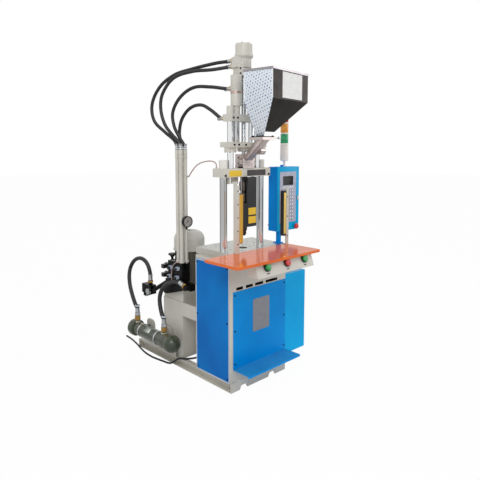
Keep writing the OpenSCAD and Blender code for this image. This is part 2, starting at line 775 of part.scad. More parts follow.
module pressure_knob() color("#1C1C1C") translate([knob_xy[0], knob_xy[1], block_top + knob_lift]) difference() {
  rotate_extrude() polygon([[0, 0], [8, 0], [9, 8], [16, 19], [24, 24], [27.5, 27], [27.5, 32],
    [25, 36], [18, 38], [0, 39]]);
  translate([0, 0, -1]) cylinder(d = 10 + 2 * fit, h = 25);
}

module gauge_case() color(dark) translate([gauge_xy[0], gauge_xy[1] - 4, gauge_z]) {
  r = gauge_d / 2;
  rotate([90, 0, 0]) union() {
    rotate_extrude() polygon([[0, -gauge_t / 2], [r - 6, -gauge_t / 2], [r - 2, -gauge_t / 2 + 4],
      [r - 2, 6], [r, 7], [r, 15], [r - 4, 15], [r - 4, 6], [0, 6]]);
    cylinder(d = gauge_pin_d, h = 11);
  }
  translate([0, 4, -r - 14]) cylinder(d = 14, h = 18, $fn = 6);
}

module gauge_needle() color(dark) translate([gauge_xy[0], gauge_xy[1] - 4, gauge_z]) rotate([90, 0, 0])
  translate([0, 0, 8]) difference() {
    union() {
      cylinder(d = 9, h = 2);
      rotate([0, 0, 225]) linear_extrude(1.2) polygon([[-15, -2], [0, -2.5], [27, 0], [0, 2.5], [-15, 2]]);
    }
    translate([0, 0, -1]) cylinder(d = gauge_pin_d + 2 * fit, h = 5);
  }

module pressure_pipes() color(beige) {
  for (p = pipe_xy) translate([p[0], p[1], block_top - 12]) union() {
    cylinder(d = pipe_d, h = pipe_h + 13);
    translate([0, 0, 12]) cylinder(d = 34, h = 14);
    translate([0, 0, pipe_h + 12]) cylinder(d = 32, h = 16, $fn = 6);
    translate([0, 0, pipe_h + 27]) cylinder(d = 24, h = 8);
    translate([0, 0, pipe_h + 34]) cylinder(d = 28, h = fitting_h - 22);
  }
  along_y(water_path[0][0], water_path[0][1], water_path[0][2], 14, pipe_xy[2][1] - water_path[0][1] - 8);
  translate([gauge_xy[0], gauge_xy[1], block_top - 12])
    cylinder(d = 8, h = gauge_z - gauge_d / 2 - 14 - block_top + 12);
}

module oil_cooler() color("#3F4A3A") translate([cooler_x, 0, cooler_z]) {
  r = bonnet_d / 2;
  shell_l = cooler_y1 - cooler_y0;
  difference() {
    translate([0, cooler_y0, 0]) rotate([-90, 0, 0]) rotate_extrude() polygon(concat(
      [[0, -38 - r]], [for (a = [-75 : 15 : 30]) [r * cos(a), -38 + r * sin(a)]],
      [[cooler_d / 2 + 6, 0], [cooler_d / 2 + 6, 50], [cooler_d / 2, 52], [cooler_d / 2, shell_l - 22],
        [r - 2, shell_l - 18], [r, shell_l - 12], [r, shell_l + 24]],
      [for (a = [15 : 15 : 75]) [r * cos(a), shell_l + 24 + 32 * sin(a)]], [[0, shell_l + 56]]));
    translate([0, cooler_y0 - 40, 0]) rotate([-90, 0, 0]) cylinder(d = cooler_d - 20, h = shell_l + 60);
  }
  for (p = [cooler_front_path, cooler_rear_path]) {
    y = p[len(p) - 1][1];
    z = p[len(p) - 1][2] - cooler_z;
    translate([0, y, cooler_d / 2 - 6]) cylinder(d = 34, h = 20);
    translate([0, y, cooler_d / 2 + 10]) cylinder(d = 28, h = z - cooler_d / 2 - 10);
  }
}

module cooler_straps() color(steel) for (y = strap_y) translate([cooler_x, y - 7, cooler_z]) difference() {
  union() {
    rotate([-90, 0, 0]) cylinder(d = cooler_d + 6, h = 14);
    block([0, 0, -9], [ear_x - cooler_x, 14, 18]);
  }
  translate([0, -1, 0]) rotate([-90, 0, 0]) cylinder(d = cooler_d, h = 16);
}

module oil_filter() color(dark) {
  port = cooler_rear_path[0];
  pipe_l = (filter_y + 8 - return_from[1]) / cos(return_slope);
  union() {
    block([filter_x - 25, filter_y, filter_z], [50, filter_l, filter_h]);
    block([filter_x - 18, filter_y + 70, filter_z - 26], [36, 34, 27]);
    translate(return_from) rotate([-90 - return_slope, 0, 0]) translate([0, 0, gap])
      cylinder(d = return_d, h = pipe_l);
    along_x(filter_x - 41, filter_y + 18, filter_z + 24, 44, 17);
    translate([port[0], port[1], filter_z + filter_h - 1]) cylinder(d = 32, h = port[2] - filter_z - filter_h + 1);
  }
}

module cooler_hose_rear() color(dark) cord(cooler_rear_path, cooler_hose_d, [1, 0, 0.1]);
module cooler_hose_front() color(dark) cord(cooler_front_path, cooler_hose_d, [1, 0, 0]);
module mains_cable() color("#151515") cord(mains_path, mains_d, [0, 0, 1]);
module motor_hose_upper() color(dark) cord(motor_upper_path, hose_d, [0.93, 0.36, 0]);
module motor_hose_lower() color(dark) cord(motor_lower_path, hose_d, [0.93, 0.36, 0]);
module cylinder_hose_upper() color(dark) cord(cylinder_upper_path, hose_d, [0.95, 0.3, 0]);
module cylinder_hose_lower() color(dark) cord(cylinder_lower_path, hose_d, [0.98, 0.2, 0]);
module water_hose() color("#B89A94") cord(water_path, water_d, [1, 0, 0]);

module clamp_cylinder() color("#8A8F92") difference() {
  union() {
    translate([0, 0, cab_top - cyl_flange_t]) cylinder(d = clamp_body_d + 26, h = cyl_flange_t);
    translate([0, 0, cab_top - clamp_body_h]) cylinder(d = clamp_body_d, h = clamp_body_h);
    along_y(0, clamp_body_d / 2 - 4, cab_top - 60, 34, 26);
  }
  translate([0, 0, cab_top - clamp_body_h - 1]) cylinder(d = ram_d + 2 * fit, h = clamp_body_h - 29);
}

module clamp_yoke() color("#8A8F92") difference() {
  union() {
    block([-205, -50, yoke_z], [410, 100, yoke_t]);
    translate([0, 0, yoke_top - 1]) cylinder(d = ram_d, h = clamp_body_h - 36);
  }
  for (s = [-1, 1]) translate([s * bar_x, 0, yoke_z - 1]) cylinder(d = bar_d + 0.3, h = yoke_t + 2);
}

module tie_bars() color(steel) for (s = [-1, 1]) translate([s * bar_x, 0, yoke_z - 40])
  cylinder(d = bar_d, h = up_top + 40 - yoke_z + 40);

module cap_nut(x, y, z, d, hole, h, depth, up) translate([x, y, z]) mirror([0, 0, up ? 0 : 1])
  difference() {
    rotate_extrude() polygon([[0, 0], [d / 2, 0], [d / 2, h - 3], [d / 2 - 3, h], [0, h]]);
    translate([0, 0, -1]) cylinder(d = hole + 0.3, h = depth + 1.5);
  }

module cap_nuts() color(beige) for (s = [-1, 1]) {
  cap_nut(s * bar_x, 0, up_top, nut_d, bar_d, nut_h, 40, true);
  cap_nut(s * bar_x, 0, yoke_z, nut_d, bar_d, nut_h, 40, false);
  cap_nut(s * col_x, inj_y, flange_top, col_nut_d, col_d, col_nut_h, 30, true);
}

module upper_platen() color(beige) difference() {
  union() {
    block([-up_w / 2, -up_deep / 2, up_z], [up_w, up_deep, up_t]);
    for (c = [[-139, 21], [-81, 34]]) block([c[0], -10, up_z - 44], [c[1], 34, 45]);
    translate([water_path[8][0], water_path[8][1], up_top - 1]) cylinder(d = 14, h = water_path[8][2] - up_top + 1);
  }
  for (s = [-1, 1]) translate([s * bar_x, 0, up_z - 50]) cylinder(d = bar_d + 0.3, h = up_t + 60);
  translate([0, inj_y, up_z - 1]) cylinder(d = barrel_d + 16, h = up_t + 2);
}

module guide_columns() color(steel) for (s = [-1, 1]) translate([s * col_x, inj_y, up_top])
  cylinder(d = col_d, h = flange_up + flange_t + 30);

module top_flange() color(beige) difference() {
  union() {
    block([-140, inj_y - 40, flange_z], [280, 80, flange_t]);
    along_y(cylinder_lower_path[0][0], inj_y + 39, cylinder_lower_path[0][2],
      30, cylinder_lower_path[0][1] - inj_y - 39);
  }
  for (s = [-1, 1]) {
    translate([s * col_x, inj_y, flange_z - 1]) cylinder(d = col_d + 0.3, h = flange_t + 2);
    translate([s * cyl_x, inj_y, flange_z - 1]) cylinder(d = rod_d + 2 * fit, h = flange_t + 2);
  }
  translate([0, inj_y, flange_z - 1]) cylinder(d = spindle_d + 2, h = flange_t + 2);
}

module injection_cylinders() color(beige) for (s = [-1, 1]) translate([s * cyl_x, inj_y, flange_top]) {
  bore = rod_d + 8;
  difference() {
    union() {
      rotate_extrude() polygon([[0, 0], [neck_d / 2, 0], [neck_d / 2, neck_h], [cyl_d / 2, neck_h],
        [cyl_d / 2, neck_h + 74], [cyl_d / 2 - 1.5, neck_h + 75], [cyl_d / 2 - 1.5, neck_h + 103],
        [cyl_d / 2, neck_h + 104], [cyl_d / 2, neck_h + cyl_h], [0, neck_h + cyl_h]]);
      if (s < 0) along_y(0, cyl_d / 2 - 8, cylinder_upper_path[0][2] - flange_top, 30,
        cylinder_upper_path[0][1] - inj_y - cyl_d / 2 + 8);
    }
    translate([0, 0, -1]) cylinder(d = rod_d + 2 * fit, h = neck_h + 9);
    translate([0, 0, neck_h + 6]) cylinder(d = bore, h = cyl_h - 16);
  }
}

module hydraulic_motor() color(beige) translate([0, inj_y, cyl_top]) {
  r = hyd_d / 2;
  z = adapter_h;
  difference() {
    union() {
      block([-65, -28, 0], [130, 56, adapter_h]);
      translate([0, 0, z]) rotate_extrude() polygon([[0, 0], [r - 6, 0], [r - 6, 52], [r + 5, 66],
        [r + 5, 80], [r, 86], [r, hyd_h - 6], [r - 4, hyd_h - 3], [0, hyd_h - 3]]);
      for (a = [30 : 60 : 330]) rotate([0, 0, a]) translate([r - 12, 0, z + hyd_h - 4]) cylinder(d = 12, h = 7);
      block([-80, -25, z - 4], [50, 50, 62]);
      for (p = [motor_upper_path[0], motor_lower_path[0]])
        along_y(p[0], 24, p[2] - cyl_top, 30, p[1] - inj_y - 24);
    }
    translate([0, 0, -1]) cylinder(d = spindle_d + 2, h = z + hyd_h - 20);
  }
}

module feed_block() color(steel) {
  w = 98;
  front = 46;
  back = 26;
  tube = 60;
  wall = 4;
  flange_w = 108;
  oy = -outlet_front;
  mouth_z = feed_top - 40;
  mouth_h = 38;
  difference() {
    union() {
      block([-w / 2, inj_y - front, up_top], [w, front + back, feed_h]);
      hull() {
        block([-tube / 2, inj_y - front, mouth_z], [tube, 2, mouth_h]);
        block([-tube / 2, oy - tube / 2, throat_z - 14], [tube, tube, 2]);
      }
      block([-flange_w / 2, oy - flange_w / 2, throat_z - 13], [flange_w, flange_w, 13]);
      for (s = [-1, 1]) block([-flange_w / 2, s > 0 ? oy + 30 : oy - flange_w / 2, throat_z - 1],
        [flange_w, flange_w / 2 - 30, gate_slot + 1 - gap]);
      along_x(tube / 2 - 6, inj_y - 106, feed_top + 20, 46, 44);
      for (z = [up_top + 28, up_top + 66]) along_x(-w / 2 - 16, inj_y - 20, z, 22, 17);
    }
    translate([0, inj_y, up_top - 1]) cylinder(d = screw_d + 2 * fit, h = feed_h + 2);
    hull() {
      block([wall - tube / 2, inj_y - front - 1, mouth_z + wall], [tube - 2 * wall, 2, mouth_h - 2 * wall]);
      block([-throat_w / 2, oy - throat_w / 2, throat_z - 14], [throat_w, throat_w, 2]);
    }
    block([-throat_w / 2, oy - throat_w / 2, throat_z - 14], [throat_w, throat_w, 20]);
    along_y(0, inj_y - front - 1, mouth_z + mouth_h / 2, 24, front);
    for (z = [up_top + 28, up_top + 66]) along_x(-w / 2 - 17, inj_y - 20, z, 12, 12);
  }
}

// Outside or inside form of the hopper: taper below the bend, straight above it
module hopper_form(w, deep, out, z_low, neck, z_top) hull() {
  translate([0, -outlet_front, z_low]) rotate([0, 0, hopper_turn])
    block([-out / 2, -out / 2, 0], [out, out, neck]);
  translate([hopper_x, hopper_y, bend_z]) rotate([0, 0, hopper_turn])
    block([-w / 2, -deep / 2, 0], [w, deep, z_top - bend_z]);
}

module hopper() color("#C9DCEB") {
  oy = -outlet_front;
  t = hopper_t;
  foot_w = 100;
  rim_w = 8;
  difference() {
    union() {
      hopper_form(hopper_w, hopper_deep, throat_w + 2 * t, outlet_z + 2, 1, rim_z - 3);
      translate([hopper_x, hopper_y, rim_z - 12]) rotate([0, 0, hopper_turn])
        block([-(hopper_w + rim_w) / 2, -(hopper_deep + rim_w) / 2, 0], [hopper_w + rim_w, hopper_deep + rim_w, 12]);
      block([-foot_w / 2, oy - foot_w / 2, outlet_z], [foot_w, foot_w, 5]);
    }
    hopper_form(hopper_w - 2 * t, hopper_deep - 2 * t, throat_w, outlet_z - 1, 3.5, rim_z + 1);
  }
}

module hopper_gate() color(steel) {
  oy = -outlet_front;
  z = throat_z + gap;
  union() {
    block([-50, oy - 28, z], [106, 56, gate_t]);
    along_x(55, oy, z + gate_t / 2, 7, 88);
    along_x(140, oy, z + gate_t / 2, 16, 12);
  }
}

module barrel() color("#4A4A4C") translate([0, inj_y, 0]) {
  tip_z = barrel_low - 37;
  body_z = barrel_low;
  difference() {
    rotate_extrude() polygon([[0, tip_z], [9, tip_z], [17, tip_z + 12], [17, body_z - 6], [22, body_z],
      [barrel_d / 2, body_z + 1], [barrel_d / 2, up_top], [0, up_top]]);
    translate([0, 0, body_z + 28]) cylinder(d = screw_d + 2 * fit, h = up_top - body_z);
    translate([0, 0, tip_z - 1]) cylinder(d = 5, h = 80);
  }
}

module heater_bands() color("#6B6560") for (i = [0 : 3]) translate([0, inj_y, barrel_low + 37 + i * band_pitch])
  difference() {
    union() {
      cylinder(d = band_d, h = band_h);
      block([-band_d / 2 - 5, -9, band_h / 4], [12, 18, band_h / 2]);
    }
    translate([0, 0, -1]) cylinder(d = barrel_d + 0.3, h = band_h + 2);
  }

module barrel_guard() color(dark) {
  t = 2;
  w = 76;
  front = -89;
  flange = 46;
  low = barrel_low + 30;
  open_z = barrel_low + 177;
  difference() {
    block([-w / 2, front, low], [w, flange, up_z - low]);
    block([t - w / 2, front + t, low - 1], [w - 2 * t, flange, up_z - low + 2]);
    block([-w / 2 - 1, front + 14, open_z], [t + 2, flange, up_z - open_z - 20]);
  }
}

module crosshead() color(beige) difference() {
  union() {
    block([-cross_w / 2, inj_y - cross_deep / 2, cross_z + bearing_h], [cross_w, cross_deep, cross_t]);
    for (s = [-1, 1]) translate([s * col_x, inj_y, cross_z]) cylinder(d = bearing_d, h = bearing_h + 1);
    translate([0, inj_y, cross_z + 8]) cylinder(d = 84, h = bearing_h);
    for (a = [30 : 60 : 330]) translate([33 * cos(a), inj_y + 33 * sin(a), cross_z + 2]) cylinder(d = 12, h = 10);
  }
  for (s = [-1, 1]) {
    translate([s * col_x, inj_y, cross_z - 1]) cylinder(d = col_d + 2 * fit, h = bearing_h + cross_t + 2);
    translate([s * cyl_x, inj_y, cross_top - 20]) cylinder(d = rod_d - 6 + 0.3, h = 21);
  }
  translate([0, inj_y, cross_z + 1]) cylinder(d = 50 + 2 * fit, h = bearing_h + cross_t);
}

module piston_rods() color(steel) for (s = [-1, 1]) translate([s * cyl_x, inj_y, cross_top]) {
  rod_l = cyl_z + 20 - cross_top;
  rotate_extrude() polygon([[0, -19], [rod_d / 2 - 3, -19], [rod_d / 2 - 3, 0], [rod_d / 2, 0],
    [rod_d / 2, rod_l], [rod_d / 2 + 4 - fit, rod_l], [rod_d / 2 + 4 - fit, rod_l + 22], [0, rod_l + 22]]);
}

module screw() color(steel) translate([0, inj_y, 0]) {
  tip_z = barrel_low + 45;
  core_d = 18;
  turns = 10;
  shank_z = up_top - 10;
  tip_r = screw_d / 2 - 0.1;
  union() {
    translate([0, 0, tip_z]) cylinder(d = core_d, h = shank_z - tip_z);
    translate([0, 0, tip_z]) linear_extrude(shank_z - tip_z, twist = -360 * turns, slices = 8 * turns, $fn = 4)
      polygon([[2, -2.5], [tip_r, -1.5], [tip_r, 1.5], [2, 2.5]]);
    translate([0, 0, shank_z - 1]) cylinder(d = screw_d, h = cross_z + 4 - shank_z);
    translate([0, 0, cross_z + 1 + gap]) cylinder(d = 50, h = bearing_h + cross_t - 2);
    translate([0, 0, cross_top - 2]) cylinder(d = spindle_d, h = cyl_top + 40 - cross_top);
  }
}

base_frame();
cabinet_frame();
left_cover();
front_cover();
lower_platen();
work_table();
button_box();
curtain_posts();
light_curtains();
control_box();
operator_panel();
signal_lamp();
electrical_cabinet();
electrical_door();
switchgear();
oil_tank();
tank_lid();
pump_motor();
motor_rotor();
bell_housing();
oil_pump();
valve_block();
solenoid_valves();
pressure_knob();
gauge_case();
gauge_needle();
pressure_pipes();
oil_cooler();
cooler_straps();
oil_filter();
cooler_hose_rear();
cooler_hose_front();
mains_cable();
motor_hose_upper();
motor_hose_lower();
cylinder_hose_upper();
cylinder_hose_lower();
water_hose();
clamp_cylinder();
clamp_yoke();
tie_bars();
cap_nuts();
upper_platen();
guide_columns();
top_flange();
injection_cylinders();
hydraulic_motor();
feed_block();
hopper();
hopper_gate();
barrel();
heater_bands();
barrel_guard();
crosshead();
piston_rods();
screw();
left_start_button();
right_start_button();
stop_button();
emergency_button();
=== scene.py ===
import json
import math

import bmesh
import bpy
from mathutils import Matrix, Vector

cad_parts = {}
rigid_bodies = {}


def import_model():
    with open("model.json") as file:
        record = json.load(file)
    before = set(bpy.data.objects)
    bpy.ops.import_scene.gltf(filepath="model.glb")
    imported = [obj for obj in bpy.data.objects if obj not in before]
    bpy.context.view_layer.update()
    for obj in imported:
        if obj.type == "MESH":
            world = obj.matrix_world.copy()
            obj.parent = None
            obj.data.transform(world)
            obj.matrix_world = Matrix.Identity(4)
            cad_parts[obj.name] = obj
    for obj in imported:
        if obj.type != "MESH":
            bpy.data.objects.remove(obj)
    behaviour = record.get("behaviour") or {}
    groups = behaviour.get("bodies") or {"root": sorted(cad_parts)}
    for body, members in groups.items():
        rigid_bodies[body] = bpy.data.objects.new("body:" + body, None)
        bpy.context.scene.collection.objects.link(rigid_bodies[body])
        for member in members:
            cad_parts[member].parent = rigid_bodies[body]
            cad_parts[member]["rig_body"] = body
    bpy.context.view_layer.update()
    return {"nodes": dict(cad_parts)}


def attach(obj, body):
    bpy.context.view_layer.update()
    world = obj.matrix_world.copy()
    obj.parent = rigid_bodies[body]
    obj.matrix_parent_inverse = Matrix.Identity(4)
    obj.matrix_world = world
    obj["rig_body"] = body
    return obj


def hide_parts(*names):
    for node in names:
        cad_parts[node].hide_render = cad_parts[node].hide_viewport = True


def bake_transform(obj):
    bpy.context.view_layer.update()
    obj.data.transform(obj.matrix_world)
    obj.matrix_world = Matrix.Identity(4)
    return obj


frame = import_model()
nodes = frame["nodes"]
scene = bpy.context.scene

# The camera stands where the photographer stood: ahead of the left front corner, a little above
# the work table, with its lens slightly down. Lengths in the picture are in its pixels.
picture_side = 480.0
focal_length = 488.19
centre_drop = 37.0
tilt_down = 0.1052
turn_right = 0.7657
camera = bpy.data.cameras.new("camera")
camera.sensor_width = 36.0
camera.lens = camera.sensor_width * focal_length / picture_side
camera.shift_y = -centre_drop / picture_side
camera_stand = bpy.data.objects.new("camera", camera)
camera_stand.location = (-2.163, -2.228, 1.484)
camera_stand.rotation_euler = (math.pi / 2 - tilt_down, 0.0, -turn_right)
scene.collection.objects.link(camera_stand)
scene.camera = camera_stand
scene.view_settings.view_transform = "Standard"


# Studio floor: a white sheet that runs far back. The camera sees it as almost pure white, with
# only a trace of the machine's soft shadow.
def add(tree, kind, links=None, **settings):
    """Adds a shader node, with its settings by name and its links by input."""
    made = tree.nodes.new(kind)
    for name, value in settings.items():
        if hasattr(made, name):
            setattr(made, name, value)
        else:
            made.inputs[name.replace("_", " ")].default_value = value
    for socket, source in (links or {}).items():
        tree.links.new(source, made.inputs[socket])
    return made


def linear(hex_colour):
    """The linear red, green, blue and alpha of an sRGB hex colour."""
    parts = [int(hex_colour[i : i + 2], 16) / 255 for i in (1, 3, 5)]
    return [p / 12.92 if p <= 0.04045 else ((p + 0.055) / 1.055) ** 2.4 for p in parts] + [1.0]


def blank_material(name):
    made = bpy.data.materials.new(name)
    made.use_nodes = True
    made.node_tree.nodes.clear()
    return made, made.node_tree


def finish_shader(tree, shader):
    add(tree, "ShaderNodeOutputMaterial", {"Surface": shader.outputs[0]})


pure_white = (1.0, 1.0, 1.0, 1.0)
paper_white = (0.94, 0.94, 0.94, 1.0)
shadow_hidden = 0.97
studio_white, tree = blank_material("studio_paper")
seen = add(tree, "ShaderNodeLightPath")
paper = add(tree, "ShaderNodeBsdfDiffuse", Color=paper_white)
glow = add(tree, "ShaderNodeEmission", Color=pure_white, Strength=1.0)
shown = add(tree, "ShaderNodeMath", {0: seen.outputs["Is Camera Ray"]}, operation="MULTIPLY")
shown.inputs[1].default_value = shadow_hidden
finish_shader(tree, add(
    tree, "ShaderNodeMixShader", {0: shown.outputs[0], 1: paper.outputs[0], 2: glow.outputs[0]}))

floor_mesh = bmesh.new()
bmesh.ops.create_grid(floor_mesh, x_segments=1, y_segments=1, size=30.0)
floor = bpy.data.objects.new("studio_floor", bpy.data.meshes.new("studio_floor"))
floor_mesh.to_mesh(floor.data)
floor_mesh.free()
floor.data.materials.append(studio_white)
scene.collection.objects.link(floor)


# Studio air: pure white to the camera, to gloss and to glass. Everything else takes a softer
# light from it, so that shaded sides keep their depth.
world = bpy.data.worlds.new("studio_air")
scene.world = world
world.use_nodes = True
tree = world.node_tree
tree.nodes.clear()
seen = add(tree, "ShaderNodeLightPath")
gloss_or_glass = add(tree, "ShaderNodeMath", {
    0: seen.outputs["Is Glossy Ray"], 1: seen.outputs["Is Transmission Ray"]}, operation="MAXIMUM")
white_for = add(tree, "ShaderNodeMath", {
    0: seen.outputs["Is Camera Ray"], 1: gloss_or_glass.outputs[0]}, operation="MAXIMUM")
sky = add(tree, "ShaderNodeBackground", Color=pure_white, Strength=0.55)
backdrop = add(tree, "ShaderNodeBackground", Color=pure_white, Strength=1.0)
mixed = add(tree, "ShaderNodeMixShader", {
    0: white_for.outputs[0], 1: sky.outputs[0], 2: backdrop.outputs[0]})
add(tree, "ShaderNodeOutputWorld", {"Surface": mixed.outputs[0]})


# Two soft boxes, a large one over the operator's left shoulder and a weaker one at the right.
# Both are aimed at the middle of the machine.
machine_middle = Vector((0.0, 0.2, 1.0))
for name, spot, size, watts in (
    ("left_soft_box", (-2.6, -2.2, 3.6), 2.4, 58.0),
    ("right_soft_box", (3.2, -2.4, 2.4), 2.0, 24.0),
):
    lamp = bpy.data.lights.new(name, "AREA")
    lamp.energy = watts
    lamp.size = size
    stand = bpy.data.objects.new(name, lamp)
    stand.location = spot
    stand.rotation_euler = (machine_middle - Vector(spot)).to_track_quat("-Z", "Y").to_euler()
    scene.collection.objects.link(stand)


# Hydraulic hoses: black nitrile rubber over steel wire braid, pressed through a cloth wrap that
# leaves fine bands around them. Each is crimped at both ends and hangs between swivel fittings.
mm = 0.001
upward = Vector((0.0, 0.0, 1.0))
downward = Vector((0.0, 0.0, -1.0))
rightward = Vector((1.0, 0.0, 0.0))
leftward = Vector((-1.0, 0.0, 0.0))
backward = Vector((0.0, 1.0, 0.0))
ahead = Vector((0.0, -1.0, 0.0))


def place(mesh, name, body, material, smooth=40.0):
    """Turns a finished bmesh into a piece that rides on a body, if it has one."""
    piece = bpy.data.objects.new(name, bpy.data.meshes.new(name))
    mesh.to_mesh(piece.data)
    mesh.free()
    piece.data.materials.append(material)
    scene.collection.objects.link(piece)
    piece.data.shade_smooth()
    piece.data.set_sharp_from_angle(angle=math.radians(smooth))
    if body:
        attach(piece, body)
    return piece


def per(size):
    """Pattern scale that repeats about once in the given millimetres."""
    return 1000.0 / size


def two_tone(tree, factor, low, high, start=0.0, end=1.0):
    """Colour that runs from low to high while the factor runs from start to end."""
    span = add(tree, "ShaderNodeMapRange", {"Value": factor}, From_Min=start, From_Max=end)
    tones = add(tree, "ShaderNodeMix", data_type="RGBA")
    tree.links.new(span.outputs[0], tones.inputs[0])
    tones.inputs[6].default_value = linear(low)
    tones.inputs[7].default_value = linear(high)
    return tones.outputs[2]


def coated(tree, colour, bump, **settings):
    """Ends a material with a principled shader of the given colour, relief and settings."""
    finish_shader(tree, add(
        tree, "ShaderNodeBsdfPrincipled", {"Base Color": colour, "Normal": bump.outputs[0]},
        **settings))


hose_rubber, tree = blank_material("wrapped_nitrile_rubber")
along = add(tree, "ShaderNodeUVMap").outputs[0]
bands = add(tree, "ShaderNodeTexWave", {"Vector": along},
            wave_type="BANDS", bands_direction="X", Scale=per(9))
cloth_print = add(tree, "ShaderNodeTexNoise", {"Vector": along}, Scale=per(1.1), Detail=2.0)
worn = two_tone(tree, cloth_print.outputs[0], "#111112", "#505053", 0.5, 0.8)
ribs = add(tree, "ShaderNodeBump", {"Height": bands.outputs[1]}, Strength=0.25, Distance=0.0004)
coated(tree, worn, ribs, Roughness=0.42)


def route(points, step):
    """A smooth line of points a step apart through the route's own points, in metres."""
    points = [Vector(p) * mm for p in points]
    line = []
    for i in range(len(points) - 1):
        a, b = points[i], points[i + 1]
        before = points[i - 1] if i else a - (b - a)
        after = points[i + 2] if i + 2 < len(points) else b + (b - a)
        span = (b - a).length
        into = (b - before).normalized() * span
        out = (after - a).normalized() * span
        count = max(1, round(span / step))
        for k in range(count):
            t = k / count
            line.append(
                a * (2 * t**3 - 3 * t**2 + 1) + into * (t**3 - 2 * t**2 + t)
                + b * (3 * t**2 - 2 * t**3) + out * (t**3 - t**2))
    return line + [points[-1]]


def tube(line, radius, sides, side):
    """Extrudes a ring of the radius in mm along the line; u runs along it and v around it."""
    mesh = bmesh.new()
    uv = mesh.loops.layers.uv.new("UVMap")
    radius *= mm
    stands = []
    for i, point in enumerate(line):
        toward = (line[min(i + 1, len(line) - 1)] - line[max(i - 1, 0)]).normalized()
        across = toward.cross(side).normalized()
        turn = Matrix((across.cross(toward), across, toward)).transposed().to_4x4()
        stands.append(Matrix.Translation(point) @ turn)
    ring = bmesh.ops.create_circle(mesh, segments=sides, radius=radius)["verts"]
    bmesh.ops.transform(mesh, matrix=stands[0], verts=ring)
    first_edges = edges = list(mesh.edges)
    travelled = 0.0
    for i in range(1, len(line)):
        grown = bmesh.ops.extrude_edge_only(mesh, edges=edges)["geom"]
        verts = {g for g in grown if isinstance(g, bmesh.types.BMVert)}
        edges = [g for g in grown
                 if isinstance(g, bmesh.types.BMEdge) and verts.issuperset(g.verts)]
        bmesh.ops.transform(mesh, matrix=stands[i] @ stands[i - 1].inverted(), verts=list(verts))
        further = travelled + (line[i] - line[i - 1]).length
        for face in {f for v in verts for f in v.link_faces}:
            for loop in face.loops:
                local = stands[i].inverted() @ loop.vert.co
                around = math.atan2(local.y, local.x) % (2 * math.pi) * radius
                loop[uv].uv = (further if loop.vert in verts else travelled, around)
        travelled = further
    bmesh.ops.holes_fill(mesh, edges=first_edges + edges, sides=sides)
    bmesh.ops.recalc_face_normals(mesh, faces=mesh.faces)
    return mesh


hose_step = 0.012
hose_sides = 16
tower_hose_radius = 11.0
cooler_hose_radius = 14.5
rear_plane = Vector((0.93, 0.36, 0.0))
tower_hoses = (
    ("motor_hose_upper", rear_plane, [
        (-60, 38, 2040), (-60, 56, 2040), (-100, 140, 2034), (-180, 310, 2004), (-222, 410, 1978),
        (-262, 512, 1910), (-285, 574, 1800), (-280, 562, 1690), (-248, 485, 1612),
        (-220, 418, 1555), (-214, 400, 1512), (-214, 400, 1494)]),
    ("motor_hose_lower", rear_plane, [
        (-60, 38, 2006), (-60, 56, 2006), (-125, 140, 1992), (-188, 270, 1988), (-236, 400, 1955),
        (-264, 482, 1862), (-270, 498, 1770), (-262, 468, 1665), (-240, 418, 1595),
        (-218, 374, 1545), (-214, 362, 1512), (-214, 362, 1494)]),
    ("cylinder_hose_upper", Vector((0.95, 0.3, 0.0)), [
        (-66, 46, 1872), (-66, 62, 1872), (-125, 160, 1888), (-162, 285, 1892), (-190, 388, 1838),
        (-208, 448, 1745), (-208, 438, 1655), (-200, 398, 1585), (-184, 370, 1535),
        (-176, 362, 1510), (-176, 362, 1494)]),
    ("cylinder_hose_lower", Vector((0.98, 0.2, 0.0)), [
        (-118, 52, 1688), (-118, 68, 1688), (-145, 140, 1745), (-156, 218, 1778), (-166, 315, 1764),
        (-172, 395, 1700), (-174, 424, 1615), (-175, 408, 1540), (-176, 400, 1512),
        (-176, 400, 1494)]),
)
for name, side, points in tower_hoses:
    line = route(points, hose_step)
    hose = place(tube(line, tower_hose_radius, hose_sides, side),
                 name + "_rubber", None, hose_rubber)
    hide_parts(name)
    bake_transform(hose)

for name, points in (
    ("cooler_hose_rear", [
        (-210, 750, 545), (-210, 750, 563), (-210, 756, 606), (-212, 780, 656), (-217, 824, 688),
        (-225, 877, 692), (-235, 927, 666), (-247, 960, 614), (-258, 964, 552), (-268, 940, 482),
        (-277, 894, 415), (-283, 848, 362), (-285, 815, 332), (-285, 815, 310)]),
    ("cooler_hose_front", [
        (-247, 300, 600), (-247, 317, 606), (-249, 350, 613), (-252, 392, 611), (-257, 437, 598),
        (-263, 480, 574), (-269, 515, 541), (-273, 535, 503), (-278, 538, 462), (-282, 526, 416),
        (-285, 504, 368), (-285, 480, 332), (-285, 480, 310)]),
):
    line = route(points, hose_step)
    hose = place(tube(line, cooler_hose_radius, hose_sides, rightward),
                 name + "_rubber", "frame", hose_rubber)
    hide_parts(name)


# Thin water line to the upper platen: clear polyurethane tube, faintly pink from its filling.
# It springs from a riser pipe and follows the platen down.
tube_plastic, tree = blank_material("polyurethane_tube")
where = add(tree, "ShaderNodeTexCoord").outputs["Object"]
haze = add(tree, "ShaderNodeTexNoise", {"Vector": where}, Scale=per(17), Detail=2.0)
tint = two_tone(tree, haze.outputs[0], "#A98F8A", "#C4AFA9")
finish_shader(tree, add(
    tree, "ShaderNodeBsdfPrincipled", {"Base Color": tint}, Roughness=0.3, Subsurface_Weight=0.1))
line = route([
    (-176, 338, 1320), (-176, 326, 1320), (-178, 290, 1355), (-181, 230, 1398), (-186, 150, 1420),
    (-191, 75, 1424), (-192, 36, 1412), (-192, 30, 1396), (-192, 30, 1388)], 0.008)
water_line = place(tube(line, 4.0, 10, rightward), "water_line", None, tube_plastic)
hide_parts("water_hose")
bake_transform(water_line)


